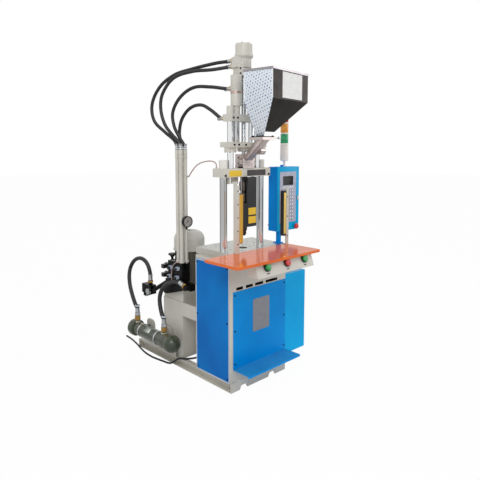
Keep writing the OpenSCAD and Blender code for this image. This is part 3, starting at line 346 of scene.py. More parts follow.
# Mains cable: a round three-core cable in a black rubber sheath. It leaves a gland low on the
# cabinet's rear wall, crosses the left channel and lies on the floor, where it ends stripped.
cable_rubber, tree = blank_material("chloroprene_cable_sheath")
where = add(tree, "ShaderNodeTexCoord").outputs["Object"]
dust = add(tree, "ShaderNodeTexNoise", {"Vector": where}, Scale=per(22), Detail=4.0)
sheath_tone = two_tone(tree, dust.outputs[0], "#141415", "#262627")
skin = add(tree, "ShaderNodeBump", {"Height": dust.outputs[0]}, Strength=0.1, Distance=0.0005)
coated(tree, sheath_tone, skin, Roughness=0.55)
cable_gland = Vector((-150, 228, 95))
line = route([
    cable_gland, (-150, 246, 95), (-152, 282, 86), (-164, 318, 72), (-188, 345, 68),
    (-209, 366, 68), (-222, 388, 67), (-234, 412, 53), (-242, 442, 28), (-247, 480, 11),
    (-251, 530, 7), (-262, 600, 7), (-268, 660, 7), (-262, 755, 7), (-242, 850, 7),
    (-218, 940, 7), (-196, 1050, 7), (-186, 1145, 7)], hose_step)
mains = place(tube(line, 6.5, 14, upward),
              "mains_cable_sheath", "frame", cable_rubber)
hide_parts("mains_cable")
core_radius = 1.7
core_circle = 2.6
third_turn = 2.094
for k, (colour, paint, shaded) in enumerate((
    ("brown", "#6B4A2E", "#54381F"),
    ("blue", "#2F5FA8", "#244C88"),
    ("green", "#5F9A3A", "#4C7F2D"),
)):
    insulation, tree = blank_material("pvc_core_" + colour)
    where = add(tree, "ShaderNodeTexCoord").outputs["Object"]
    mottle = add(tree, "ShaderNodeTexNoise", {"Vector": where}, Scale=per(5))
    shade = two_tone(tree, mottle.outputs[0], shaded, paint)
    finish_shader(tree, add(
        tree, "ShaderNodeBsdfPrincipled", {"Base Color": shade}, Roughness=0.4))
    turn = k * third_turn
    spread = Vector((math.cos(turn), 0.0, math.sin(turn) * 0.9)) * core_circle
    core_line = [line[-1] + offset * mm for offset in (
        spread + Vector((0.2, -6.0, 0.0)), spread + Vector((0.8, 1.5, 0.0)),
        spread * 1.2 + Vector((1.6, 5.5, -0.4)))]
    core = place(tube(core_line, core_radius, 8, upward),
                 "mains_core_%d" % (k + 1), "frame", insulation)


def enamel(name, lit, deep, roughness=0.3, coat=0.1, peel=0.1, gloss=0.4):
    """Sprayed enamel: two close tones in broad clouds, with orange peel and a clear coat."""
    material, tree = blank_material(name)
    where = add(tree, "ShaderNodeTexCoord").outputs["Object"]
    clouds = add(tree, "ShaderNodeTexNoise", {"Vector": where}, Scale=per(300), Detail=3.0)
    tone = two_tone(tree, clouds.outputs[0], deep, lit, 0.35, 0.65)
    grain = add(tree, "ShaderNodeTexNoise", {"Vector": where}, Scale=per(2.4), Detail=1.0)
    skin = add(tree, "ShaderNodeBump", {"Height": grain.outputs[0]}, Strength=peel, Distance=0.0003)
    coated(tree, tone, skin, Roughness=roughness, Coat_Weight=coat, Coat_Roughness=0.1,
           Specular_IOR_Level=gloss)
    return material


def metal(name, low, high, roughness, grain, relief=0.05):
    """Bare metal: tone and gloss vary in streaks of the given length, width and height in mm."""
    material, tree = blank_material(name)
    where = add(tree, "ShaderNodeTexCoord").outputs["Object"]
    lay = add(tree, "ShaderNodeMapping", {"Vector": where}, Scale=tuple(per(g) for g in grain))
    streaks = add(tree, "ShaderNodeTexNoise", {"Vector": lay.outputs[0]}, Scale=1.0, Detail=4.0)
    tone = two_tone(tree, streaks.outputs[0], low, high, 0.3, 0.7)
    gloss = add(tree, "ShaderNodeMapRange", {"Value": streaks.outputs[0]},
                From_Min=0.3, From_Max=0.7, To_Min=roughness * 1.2, To_Max=roughness * 0.8)
    skin = add(tree, "ShaderNodeBump", {"Height": streaks.outputs[0]},
               Strength=relief, Distance=0.0002)
    finish_shader(tree, add(
        tree, "ShaderNodeBsdfPrincipled",
        {"Base Color": tone, "Roughness": gloss.outputs[0], "Normal": skin.outputs[0]},
        Metallic=1.0))
    return material


def moulded(name, low, high, roughness=0.35, grain=3.0, relief=0.1):
    """Moulded plastic: a faint mottle and a fine surface grain of the given size in mm."""
    material, tree = blank_material(name)
    where = add(tree, "ShaderNodeTexCoord").outputs["Object"]
    mottle = add(tree, "ShaderNodeTexNoise", {"Vector": where}, Scale=per(grain * 8), Detail=2.0)
    tone = two_tone(tree, mottle.outputs[0], low, high, 0.3, 0.7)
    texture = add(tree, "ShaderNodeTexNoise", {"Vector": where}, Scale=per(grain))
    skin = add(tree, "ShaderNodeBump", {"Height": texture.outputs[0]},
               Strength=relief, Distance=0.0002)
    coated(tree, tone, skin, Roughness=roughness)
    return material


def round_edges(piece, width, segments=2):
    edge = piece.modifiers.new("rounded_edges", "BEVEL")
    edge.width = width * mm
    edge.segments = segments
    edge.limit_method = "ANGLE"
    edge.angle_limit = math.radians(35.0)
    edge.harden_normals = True


def softened(name, width, material):
    """The CAD piece with its doubles merged and its edges rounded by the given width in mm."""
    mesh = bmesh.new()
    mesh.from_mesh(nodes[name].data)
    bmesh.ops.remove_doubles(mesh, verts=mesh.verts, dist=0.00002)
    bmesh.ops.dissolve_limit(
        mesh, angle_limit=math.radians(1.0), verts=mesh.verts, edges=mesh.edges)
    piece = place(mesh, name + "_made", nodes[name]["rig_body"], material)
    round_edges(piece, width)
    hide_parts(name)
    return piece


def repaint(piece, material, chosen):
    """Gives the material to the faces for which chosen(centre in mm, normal) is true."""
    piece.data.materials.append(material)
    for face in piece.data.polygons:
        if chosen(face.center / mm, face.normal):
            face.material_index = len(piece.data.materials) - 1


def brick(mesh, low, high):
    """A block between two corners in millimetres."""
    low, high = Vector(low) * mm, Vector(high) * mm
    shape = Matrix.Translation((low + high) / 2) @ Matrix.Diagonal((*(high - low), 1.0))
    return bmesh.ops.create_cube(mesh, size=1.0, matrix=shape)["verts"]


def blocks(name, body, material, corners, rounding=0.0, segments=2):
    """A piece of blocks, each between two corners, with its edges rounded if asked."""
    mesh = bmesh.new()
    for low, high in corners:
        brick(mesh, low, high)
    piece = place(mesh, name, body, material)
    if rounding:
        round_edges(piece, rounding, segments)


def facing(point, direction):
    """Stands at a point in millimetres, with its own Z turned to the direction."""
    turn = Vector(direction).to_track_quat("Z", "Y").to_matrix().to_4x4()
    return Matrix.Translation(Vector(point) * mm) @ turn


def turned(mesh, stand, profile, sides):
    """Spins a profile of (radius, height) in millimetres about the stand's own Z."""
    verts = [mesh.verts.new(stand @ Vector((radius * mm, 0.0, height * mm)))
             for radius, height in profile]
    edges = [mesh.edges.new(pair) for pair in zip(verts, verts[1:])]
    bmesh.ops.spin(
        mesh, geom=verts + edges, cent=stand.translation, axis=stand.to_3x3() @ upward,
        angle=2 * math.pi, steps=sides, use_merge=True)
    bmesh.ops.remove_doubles(mesh, verts=mesh.verts, dist=0.000001)
    bmesh.ops.recalc_face_normals(mesh, faces=mesh.faces)


def screws(name, body, material, sets):
    """A piece of cap screws with round sockets; sets hold spots, direction, head and height."""
    mesh = bmesh.new()
    for spots, direction, head, height in sets:
        for spot in spots:
            turned(mesh, facing(spot, direction), [
                (0, height * 0.4), (head * 0.26, height * 0.4), (head * 0.26, height),
                (head * 0.43, height), (head * 0.5, height * 0.85), (head * 0.5, -0.3),
                (0, -0.3)], 16)
    place(mesh, name, body, material)


def hexagons(mesh, spots, direction, across, height):
    """Hexagon heads or nuts, one at each spot, with the given width across corners in mm."""
    radius = across * mm / 2
    for spot in spots:
        bmesh.ops.create_cone(
            mesh, cap_ends=True, segments=6, radius1=radius, radius2=radius, depth=height * mm,
            matrix=facing(spot, direction) @ Matrix.Translation((0, 0, height * mm / 2)))


black_plastic = moulded("black_moulded_plastic", "#121213", "#222223")
beige = enamel("beige_machine_enamel", "#DAD7CD", "#CCC9BF", 0.34)
black_oxide = metal("black_oxide_steel", "#1A1A1B", "#2C2C2D", 0.42, (8, 8, 8))
zinc = metal("zinc_plated_steel", "#A9ACAE", "#C6C8C9", 0.28, (12, 12, 12))
softened("base_frame", 1.2, beige)


# Cabinet: a welded sheet steel body in the same beige. The covers leave its corner strips bare,
# and a ribbed rubber sleeve takes the strain of the mains cable at the rear wall.
softened("cabinet_frame", 1.0, beige)
mesh = bmesh.new()
turned(mesh, facing(cable_gland, backward), [
    (6.7, 0.4), (12, 0.4), (12, 4), (10.5, 5), (10.5, 8), (10.8, 10), (9.6, 11), (9.9, 15),
    (8.7, 16), (9.0, 20), (7.9, 21), (8.1, 26), (7.4, 34), (6.7, 34), (6.7, 0.4)], 28)
place(mesh, "cable_strain_relief", "frame", cable_rubber)


# Covers: folded steel sheet in gloss blue enamel, held by small black screws. The front one has
# its foot plate folded out below, and carries a bare grey data plate.
smooth_gloss = {"coat": 0.0, "peel": 0.06, "gloss": 0.12}
blue = enamel("blue_gloss_enamel", "#0098EA", "#008CDE", **smooth_gloss)
# Painted shade: the left cover takes a darker copy of the same blue enamel, for its shaded side.
blue_painted_shade = enamel("blue_gloss_enamel_painted_shade", "#0080D4", "#006EC4", **smooth_gloss)
softened("left_cover", 0.6, blue_painted_shade)
front_cover = softened("front_cover", 0.8, blue)
# Painted highlight: the foot plate's upward faces take a paler copy of the blue, for the light from
# above.
foot_plate_painted_highlight = enamel("blue_foot_plate_painted_highlight", "#3299D6", "#2489C9", 0.35, 0.0, 0.06, 0.3)
cover_front = -121.0
repaint(front_cover, foot_plate_painted_highlight,
        lambda centre, normal: normal.z > 0.5 and centre.y < cover_front - 4)
screws("cover_screws", "frame", black_oxide, (
    ([(-226, y, z) for y in (-100, 186) for z in (85, 440, 780)], leftward, 10, 3),
    ([(x, cover_front - 0.5, z) for x in (-180, 274) for z in (175, 385, 610)], ahead, 10, 3)))
bare_plate = metal("brushed_bare_plate", "#83858B", "#9C9DA3", 0.35, (30, 1.2, 1.2))
mesh = bmesh.new()
brick(mesh, (-25, cover_front - 1.2, 343), (128, cover_front, 555))
corners = [edge for edge in mesh.edges
           if abs(edge.verts[0].co.y - edge.verts[1].co.y) > 0.5 * mm]
bmesh.ops.bevel(mesh, geom=corners, offset=9 * mm, segments=4, profile=0.5, affect="EDGES")
round_edges(place(mesh, "data_plate", "frame", bare_plate), 0.4)
gasket = moulded("pale_edge_strip", "#C9D3DA", "#DDE5EA", 0.4)
blocks("cover_edge_strips", "frame", gasket, [
    ((-226, y - 3, 66), (-224.8, y + 3, 800)) for y in (-115, 197)] + [
    ((-226, -115, z - 3), (-224.8, 197, z + 3)) for z in (66, 798)])


# Lower platen: a ground steel plate with tapped holes and a central bore. Its outer flanks keep
# the grey beige primer.
ground_steel = metal("ground_platen_steel", "#A8A9A4", "#BFC0BA", 0.33, (120, 1.5, 1.5))
platen_side = enamel("grey_beige_primer", "#C9C7BE", "#BBB9AF", 0.42)
lower_platen = softened("lower_platen", 1.0, ground_steel)
repaint(lower_platen, platen_side,
        lambda centre, normal: abs(normal.z) < 0.5 and abs(centre.x) > 190)


# Work table: a folded steel plate in glossy orange enamel. It mirrors the bars and posts that
# stand on it.
orange = enamel("orange_gloss_enamel", "#F07A3E", "#E66E34", 0.12, 0.0, 0.03, 0.14)
softened("work_table", 1.2, orange)


# Button box: folded sheet, slanted to the operator, with two green palm buttons and a red one.
# Each sits in a dark ring, with a bare tag below it. The box's bezels round the buttons are
# painted black as painted shade round each button.
button_box = softened("button_box", 1.2, beige)
green_button = moulded("green_button_plastic", "#12903F", "#1CAA4E", 0.22)
red_button = moulded("red_button_plastic", "#C32222", "#DC3030", 0.22)
outward = Vector((0.0, -0.9434, 0.3317))
palm_feet = [Vector((x, -369.4, 829)) for x in (-164, 8, 168)]
bezel_painted_shade_reach = 29
mesh = bmesh.new()
for foot in palm_feet:
    turned(mesh, facing(foot + outward * 8, outward), [
        (22, -0.4), (22, 0.8), (25.2, 0.8), (26.2, -0.2), (26.2, -4), (25.8, -4), (25.8, -0.4),
        (22, -0.4)], 40)
place(mesh, "palm_button_rings", "frame", black_plastic)
mesh = bmesh.new()
for foot in palm_feet:
    tag = brick(mesh, (-11, -3, -0.2), (11, 3, 0.8))
    bmesh.ops.transform(mesh, matrix=facing((foot.x, -382, 793.2), outward), verts=tag)
place(mesh, "button_tags", "frame", black_plastic)
# Painted shade: the beige bezels round the buttons are painted black, for the shadow round each
# button.
repaint(button_box, black_plastic, lambda centre, normal:
        min((centre - foot).length for foot in palm_feet) < bezel_painted_shade_reach
        and (centre - palm_feet[1]).dot(outward) > 0.3)
softened("left_start_button", 0.8, green_button)
softened("right_start_button", 0.8, green_button)
softened("stop_button", 0.8, red_button)


# Posts: two folded angles on the table, with a gusset at the left one's top. Black screws run
# down their fronts.
softened("curtain_posts", 0.6, beige)
screws("post_screws", "frame", black_oxide, (
    ([(-175, -142, z) for z in (930, 1010, 1090, 1170, 1250)], ahead, 7, 3),
    ([(276, -142, z) for z in (930, 1060, 1190)], ahead, 7, 3),
    ([(-175, -120, 1266)], ahead, 10, 5)))


# Light curtains: extruded aluminium with a dark window, anodised gold on the left one. The right
# one is black with a gold strip, and both have black end caps.
gold = metal("gold_anodised_aluminium", "#D9A038", "#F2C464", 0.3, (2, 2, 90))
window = moulded("dark_curtain_window", "#0E0D10", "#1A171C", 0.12)
black_paint = enamel("black_satin_enamel", "#202023", "#161618", 0.3, 0.3)
curtains = softened("light_curtains", 1.5, gold)
repaint(curtains, window, lambda centre, normal: -138.5 < centre.x < -136 and normal.x > 0.9)
repaint(curtains, black_paint, lambda centre, normal: centre.x > 0)
# Painted light: the strip takes a brighter copy of the gold, to lift it out of the shade of its
# recess.
painted_light_gold = metal("gold_anodised_strip_painted_light", "#F0C25C", "#FFE08A", 0.35, (2, 2, 90))
curtain_front, curtain_back = -144.6, -115.4
blocks("curtain_gold_strip", "frame", painted_light_gold, [
    ((239, curtain_front, 946), (259, -143.9, 1216))], 0.3)
blocks("curtain_end_caps", "frame", black_plastic, [
    ((x - 14.4, curtain_front, z), (x + 14.4, curtain_back, z + 2))
    for x in (-148, 249) for z in (932, 1228)], 1.0)


# Control box: sheet steel with blue enamel sides and a paler frame. It carries the keypad film
# with its dark display, a latch and a red emergency stop.
cyan = enamel("cyan_blue_enamel", "#00B4E8", "#00A6DE", 0.3, 0.0, 0.06, 0.15)
mid_blue = enamel("mid_blue_enamel", "#0098F2", "#008AE6", **smooth_gloss)
box = softened("control_box", 1.5, mid_blue)
repaint(box, cyan,
        lambda centre, normal: normal.y < -0.9 and centre.z > 950 and centre.y < -50)
film = moulded("lilac_keypad_film", "#A9ABC0", "#BBBDCE", 0.3, 2.0, 0.05)
panel = softened("operator_panel", 0.6, film)
glass = moulded("black_display_glass", "#0B0C10", "#15171D", 0.06, 4.0, 0.01)
key_face = moulded("pale_key_face", "#D7D8E0", "#E6E7EC")
green_key = moulded("green_key_face", "#1E9A50", "#27B060")
repaint(panel, glass, lambda centre, normal:
        normal.y < -0.9 and -56.6 < centre.y and 1255 < centre.z < 1318)
repaint(panel, key_face, lambda centre, normal: normal.y < -0.9 and centre.y < -58)
repaint(panel, green_key, lambda centre, normal:
        normal.y < -0.9 and centre.y < -58 and centre.x < 341 and centre.z < 1040)
key_pitch, key_side = 24, 17
print_front, print_back = -58.8, -58.4
outlines = []
for x in range(322, 322 + 5 * key_pitch, key_pitch):
    for z in range(1018, 1018 + 9 * key_pitch, key_pitch):
        far_x, far_z = x + key_side, z + key_side
        outlines += [((low_x, print_front, low_z), (high_x, print_back, high_z))
                     for low_x, low_z, high_x, high_z in (
                         (x, z, far_x, z + 1), (x, far_z - 1, far_x, far_z),
                         (x, z, x + 1, far_z), (far_x - 1, z, far_x, far_z))]
key_print = moulded("blue_grey_key_print", "#3C4068", "#4A4F78", 0.4)
blocks("key_outlines", "frame", key_print, outlines)
blocks("pale_panel_fields", "frame", key_face, [
    ((327, -57.8, 1004), (372, -56.9, 1014)), ((322, -57.8, 1238), (437, -56.9, 1246))])
mesh = bmesh.new()
brick(mesh, (474, -58.6, 1146), (490, -54.8, 1178))
turned(mesh, facing((482, -58.6, 1162), ahead), [(0, 2), (5, 2), (6, 1), (6, -1), (0, -1)], 24)
round_edges(place(mesh, "door_latch", "frame", zinc), 1.0)
mesh = bmesh.new()
for z in (985, 1340):
    turned(mesh, facing((271.7, 22, z), leftward), [
        (0, 5), (4, 5), (5, 3.5), (5, -1), (0, -1)], 20)
place(mesh, "box_hinge_pins", "frame", zinc)
softened("emergency_button", 0.8, red_button)


# Signal lamp: stacked coloured lenses over a warm white base. The heights of the lenses are
# measured from the lamp's foot.
lamp_base = moulded("warm_white_lamp_base", "#F6F0EB", "#FFFAF6")
lamp_foot = 1381
lamp = softened("signal_lamp", 0.6, lamp_base)
for low, high, name, dark_tone, light_tone in (
    (159, 220, "green_lens", "#1E9E62", "#3CBE82"),
    (230, 290, "amber_lens", "#F09A2C", "#FFB850"),
    (300, 356, "red_lens", "#C22420", "#DA3C34"),
    (356, 372, "dark_red_cap", "#6E1A18", "#842220"),
):
    repaint(lamp, moulded(name, dark_tone, light_tone, 0.14, 2.0, 0.03),
            lambda centre, normal: low <= centre.z - lamp_foot <= high)


# Electrical cabinet: blue sheet steel with a hinged door. Behind the door, pale devices sit on
# their rails.
elec_blue = enamel("light_blue_gloss_enamel", "#00B8F8", "#00AAEE", **smooth_gloss)
softened("electrical_cabinet", 1.0, elec_blue)
softened("electrical_door", 1.0, elec_blue)
softened("switchgear", 0.8, moulded("device_plastic", "#C6C6C2", "#D8D8D4"))


# Oil tank and lid: welded sheet in the machine's beige. The lid is held by bright screws along
# both of its long sides.
softened("oil_tank", 1.2, beige)
softened("tank_lid", 1.0, beige)
screws("lid_screws", "frame", zinc, (
    ([(x, y, 558) for x in (-110, 30, 140, 238) for y in (392, 588)], upward, 11, 5),))


# Pump motor: a finned stator under a domed beige fan cowl, on an aluminium bell housing and an iron
# vane pump. Below the cowl it is a darker grey brown, partly its own tone and partly painted shade.
diagonals = (0.785, 2.356, 3.927, 5.498)
cast_iron = metal("grey_cast_iron", "#3C3E40", "#55585A", 0.6, (3, 3, 3), 0.3)
cast_aluminium = metal("sand_cast_aluminium", "#85888A", "#9C9FA1", 0.5, (2, 2, 2), 0.3)
motor = softened("pump_motor", 1.0, beige)
# Partly painted shade: the faces below the cowl take a darker grey brown, for the stator's own tone
# and the shade under the cowl.
stator = enamel("stator_tone_and_painted_shade", "#77736A", "#686459", 0.45, 0.0)
cowl_low = 790
repaint(motor, stator, lambda centre, normal: centre.z < cowl_low)
softened("motor_rotor", 0.4, zinc)
softened("bell_housing", 0.8, cast_aluminium)
mesh = bmesh.new()
hexagons(mesh, [(-50 + 96 * math.cos(a), 490 + 96 * math.sin(a), 572) for a in diagonals],
         upward, 17, 8)
place(mesh, "motor_flange_bolts", "frame", zinc, smooth=20.0)
softened("oil_pump", 0.8, cast_iron)


# Valve block: black steel manifold on a cream foot, with two solenoid valves and a black knob.
# Pale plugs with black ends stand out at its left, under a thin pilot tube.
block = softened("valve_block", 2.0, black_oxide)
repaint(block, beige,
        lambda centre, normal: centre.z < 611 and -197 < centre.x and centre.y < 495)
softened("solenoid_valves", 1.5, black_plastic)
softened("pressure_knob", 0.6, black_plastic)
line = route([
    (-236, 372, 742), (-240, 380, 746), (-242, 418, 722), (-240, 442, 690), (-239, 448, 650),
    (-238, 447, 612)], 0.006)
place(tube(line, 3.2, 10, rightward), "pilot_tube", "frame", tube_plastic)
plug_blue = moulded("blue_white_plug", "#A9B8D0", "#C6D0E0", 0.3)
plug_spots = ((378, 702), (452, 700), (385, 640), (470, 636))
blocks("valve_plugs", "frame", plug_blue, [
    ((-252, y - 13, z - 11), (-229, y + 13, z + 11)) for y, z in plug_spots], 2.5, 3)
blocks("plug_ends", "frame", black_plastic, [
    ((-262, y - 10, z - 8), (-251, y + 10, z + 8)) for y, z in plug_spots], 2.0, 3)
screws("block_screws", "frame", zinc, (
    ([(x, y, 740) for x in (-222, -176) for y in (440, 458)], upward, 11, 6),))


# Pressure gauge: black steel case with a white dial and a black needle under clear glass. The
# marks run over 270 degrees, with a longer one at every third.
softened("gauge_case", 0.5, black_oxide)
softened("gauge_needle", 0.2, black_plastic)
dial_white = moulded("white_enamelled_dial", "#E6E5DF", "#F1F0EC", 0.4, 6.0, 0.02)
dial_middle = Vector((-195, 328, 1021))
mesh = bmesh.new()
turned(mesh, facing(dial_middle + ahead * 6, ahead), [
    (0, 0.5), (33.4, 0.5), (33.4, -0.1), (0, -0.1)], 48)
place(mesh, "gauge_dial", "frame", dial_white)
mark_circle = 30
mesh = bmesh.new()
for k in range(28):
    length, thickness = (6.0, 1.2) if k % 3 == 0 else (3.5, 0.6)
    mark = brick(mesh, (mark_circle - length, -0.1, -thickness / 2),
                 (mark_circle, 0.1, thickness / 2))
    spin = Matrix.Rotation(-math.radians(225 - k * 10), 4, "Y")
    bmesh.ops.transform(
        mesh, matrix=Matrix.Translation((dial_middle + ahead * 6.6) * mm) @ spin, verts=mark)
place(mesh, "gauge_marks", "frame", black_plastic)
clear_glass, tree = blank_material("clear_gauge_glass")
where = add(tree, "ShaderNodeTexCoord").outputs["Object"]
smear = add(tree, "ShaderNodeTexNoise", {"Vector": where}, Scale=per(20), Detail=2.0)
smear_gloss = add(
    tree, "ShaderNodeMapRange", {"Value": smear.outputs[0]}, To_Min=0.01, To_Max=0.06)
see_through = add(tree, "ShaderNodeBsdfTransparent")
shine = add(tree, "ShaderNodeBsdfGlossy", {"Roughness": smear_gloss.outputs[0]})
slant = add(tree, "ShaderNodeFresnel", IOR=1.5)
finish_shader(tree, add(tree, "ShaderNodeMixShader", {
    0: slant.outputs[0], 1: see_through.outputs[0], 2: shine.outputs[0]}))
mesh = bmesh.new()
turned(mesh, facing(dial_middle + ahead * 12.6, ahead), [
    (0, 1.6), (33.6, 1.6), (33.6, 0), (0, 0)], 48)
place(mesh, "gauge_glass", "frame", clear_glass)


# Riser pipes: four steel tubes from the valve block up to the tower hoses, with the gauge's thin
# stem beside them. They are sprayed with the machine.
softened("pressure_pipes", 0.8, beige)


# Hose ends: each hose is swaged into a plated ferrule with crimped waists, behind a hexagon nut
# of brass. At the oil cooler a steel nut and a pale clamp ring come on top.
brass = metal("machined_brass", "#9A7438", "#C09A5A", 0.3, (3, 3, 3))
shell_x, shell_z = -285, 187
cooler_ports = [Vector((shell_x, y, shell_z)) for y in (480, 815)]


def ferrule(mesh, start, direction, hose_radius, scale=1.0):
    """A crimped ferrule round a hose, from a point along the direction."""
    outer = hose_radius + 2.2
    inner = hose_radius - 1
    turned(mesh, facing(start, direction), [(radius, height * scale) for radius, height in (
        (inner, 14), (outer, 14), (outer, 20), (outer - 1, 23), (outer - 1, 30), (outer, 33),
        (outer - 1, 36), (outer - 1, 43), (outer, 46), (outer, 52), (hose_radius + 0.2, 52),
        (inner, 51), (inner, 14))], 28)


pipe_ends = bmesh.new()
tower_ends = bmesh.new()
tower_nuts = bmesh.new()
for _, _, points in tower_hoses:
    top, bottom = Vector(points[0]), Vector(points[-1])
    ferrule(pipe_ends, bottom - upward * 12, upward, tower_hose_radius)
    ferrule(tower_ends, top - backward * 12, backward, tower_hose_radius)
    hexagons(tower_nuts, [top - backward * 16], backward, 33, 15)
place(pipe_ends, "riser_ferrules", "frame", zinc)
place(tower_ends, "tower_ferrules", "clamp", zinc)
place(tower_nuts, "tower_hose_nuts", "clamp", brass, smooth=20.0)
cooler_ends = bmesh.new()
cooler_nuts = bmesh.new()
for end, way in (((-210, 750, 545), upward), ((-247, 300, 600), Vector((0, 0.943, 0.333)))):
    ferrule(cooler_ends, Vector(end) - way * 12, way, cooler_hose_radius, 1.1)
    hexagons(cooler_nuts, [Vector(end) - way * 14], way, 40, 12)
hexagons(cooler_nuts, [port + upward * 62 for port in cooler_ports], upward, 41, 34)
steel_nuts = bmesh.new()
hexagons(steel_nuts, [port + upward * 98 for port in cooler_ports], upward, 38, 22)
place(steel_nuts, "cooler_steel_nuts", "frame", zinc, smooth=20.0)
white_rings = bmesh.new()
for port in cooler_ports:
    ferrule(cooler_ends, port + upward * 109, upward, cooler_hose_radius, 0.9)
    turned(white_rings, facing(port + upward * 165, upward), [
        (14.2, 0), (17.2, 0), (17.6, 2), (17.6, 8), (17.2, 10), (14.2, 10), (14.2, 0)], 32)
place(white_rings, "hose_clamp_rings", "frame", gasket)
place(cooler_ends, "cooler_hose_ferrules", "frame", zinc)
place(cooler_nuts, "cooler_hose_nuts", "frame", brass, smooth=20.0)


# Oil cooler: a tube shell with domed bonnets in dark green enamel, held by two bright straps. It
# carries a curved bare plate, and the black filter beside it has its cap on a tether.
braid, tree = blank_material("silver_glass_braid")
where = add(tree, "ShaderNodeTexCoord").outputs["Object"]
weave = add(tree, "ShaderNodeTexNoise", {"Vector": where}, Scale=per(1.6), Detail=2.0)
yarn = two_tone(tree, weave.outputs[0], "#8E9092", "#D0D2D3", 0.35, 0.65)
knots = add(tree, "ShaderNodeBump", {"Height": weave.outputs[0]}, Strength=0.4, Distance=0.0004)
coated(tree, yarn, knots, Roughness=0.5)
green = enamel("olive_green_enamel", "#434B38", "#353D2B", 0.24, 0.3)
softened("oil_cooler", 0.8, green)
softened("cooler_straps", 0.8, zinc)
filter_body = softened("oil_filter", 2.0, black_oxide)
repaint(filter_body, zinc, lambda centre, normal: centre.x < -236)
collars = bmesh.new()
for port in cooler_ports:
    turned(collars, facing(port, upward), [
        (0, 44), (18, 44), (19.5, 46), (19.5, 53), (16, 56), (0, 56)], 32)
place(collars, "cooler_port_collars", "frame", beige)
mesh = bmesh.new()
hexagons(mesh, [(-224, y, z) for y in (545, 745) for z in (214, 160)], leftward, 15, 7)
place(mesh, "strap_bolts", "frame", zinc, smooth=20.0)
plate_steel = metal("bare_cooler_plate", "#9AA09A", "#B2B7B0", 0.35, (1.2, 30, 30))
plate_radius = 46.4
mesh = bmesh.new()
columns = []
for k in range(9):
    angle = math.radians(105 + k * 6)
    x = shell_x + plate_radius * math.cos(angle)
    z = shell_z + plate_radius * math.sin(angle)
    columns.append([mesh.verts.new(Vector((x, y, z)) * mm) for y in (612, 678)])
for (a, b), (c, d) in zip(columns, columns[1:]):
    mesh.faces.new((a, b, d, c))
bmesh.ops.recalc_face_normals(mesh, faces=mesh.faces)
cooler_plate = place(mesh, "cooler_plate", "frame", plate_steel)
sheet_wall = cooler_plate.modifiers.new("sheet_wall", "SOLIDIFY")
sheet_wall.thickness = 0.8 * mm
sheet_wall.offset = 1.0
tether = route([
    (-248, 733, 466), (-252, 738, 448), (-250, 752, 432), (-240, 764, 430), (-234, 768, 444),
    (-232, 766, 456)], 0.004)
place(tube(tether, 1.1, 8, upward), "cap_tether", "frame", braid)


# Clamp: cylinder and yoke of cast iron, hard chromed tie bars and round cap nuts. The chrome has a
# painted reflection: it darkens where it turns away, as bars do in a workshop with a dark far side.
chrome, tree = blank_material("hard_chrome_painted_reflection")
where = add(tree, "ShaderNodeTexCoord").outputs["Object"]
lay = add(tree, "ShaderNodeMapping", {"Vector": where}, Scale=(per(3), per(3), per(240)))
wipes = add(tree, "ShaderNodeTexNoise", {"Vector": lay.outputs[0]}, Scale=1.0, Detail=4.0)
# Painted reflection: the base colour runs from bright chrome to near black as the surface turns
# away.
painted_reflection_darkening = add(tree, "ShaderNodeLayerWeight", Blend=0.5).outputs["Facing"]
tone = two_tone(tree, painted_reflection_darkening, "#E6E7E8", "#2A2C2E", 0.3, 0.72)
gloss = add(tree, "ShaderNodeMapRange", {"Value": wipes.outputs[0]},
            From_Min=0.3, From_Max=0.7, To_Min=0.11, To_Max=0.06)
finish_shader(tree, add(
    tree, "ShaderNodeBsdfPrincipled", {"Base Color": tone, "Roughness": gloss.outputs[0]},
    Metallic=1.0))
bright_steel = metal("turned_bright_steel", "#B9BBBA", "#D3D5D3", 0.24, (3, 3, 1))
softened("clamp_cylinder", 1.0, cast_iron)
softened("clamp_yoke", 1.5, cast_iron)
softened("tie_bars", 0.8, chrome)
pale_enamel = enamel("pale_nut_enamel", "#EFECE7", "#E2DFD9")
cap_nuts = softened("cap_nuts", 0.8, beige)
repaint(cap_nuts, pale_enamel, lambda centre, normal: 1300 < centre.z < 1500)


# Upper platen: painted steel plate that carries the injection unit. Its front has a yellow and a
# dark bare plate, and a socket screw near each end.
softened("upper_platen", 1.5, beige)
yellow_plate = enamel("yellow_bare_plate", "#F2CC2E", "#E4BC20", 0.32, 0.3)
brown_plate = enamel("dark_bare_plate", "#3E3A38", "#2E2B2A", 0.35, 0.2)
platen_front = -50.9
blocks("yellow_platen_plate", "clamp", yellow_plate, [
    ((-160, platen_front - 1, 1331), (-55, platen_front, 1368))], 0.3)
blocks("dark_platen_plate", "clamp", brown_plate, [
    ((-8, platen_front - 1, 1332), (160, platen_front, 1369))], 0.3)
screws("platen_screws", "clamp", black_oxide, (
    ([(x, platen_front, 1338) for x in (-190, 190)], ahead, 14, 5),
    ([(x, y, 1380) for x in (-60, 60) for y in (-36, 36)], upward, 20, 12)))


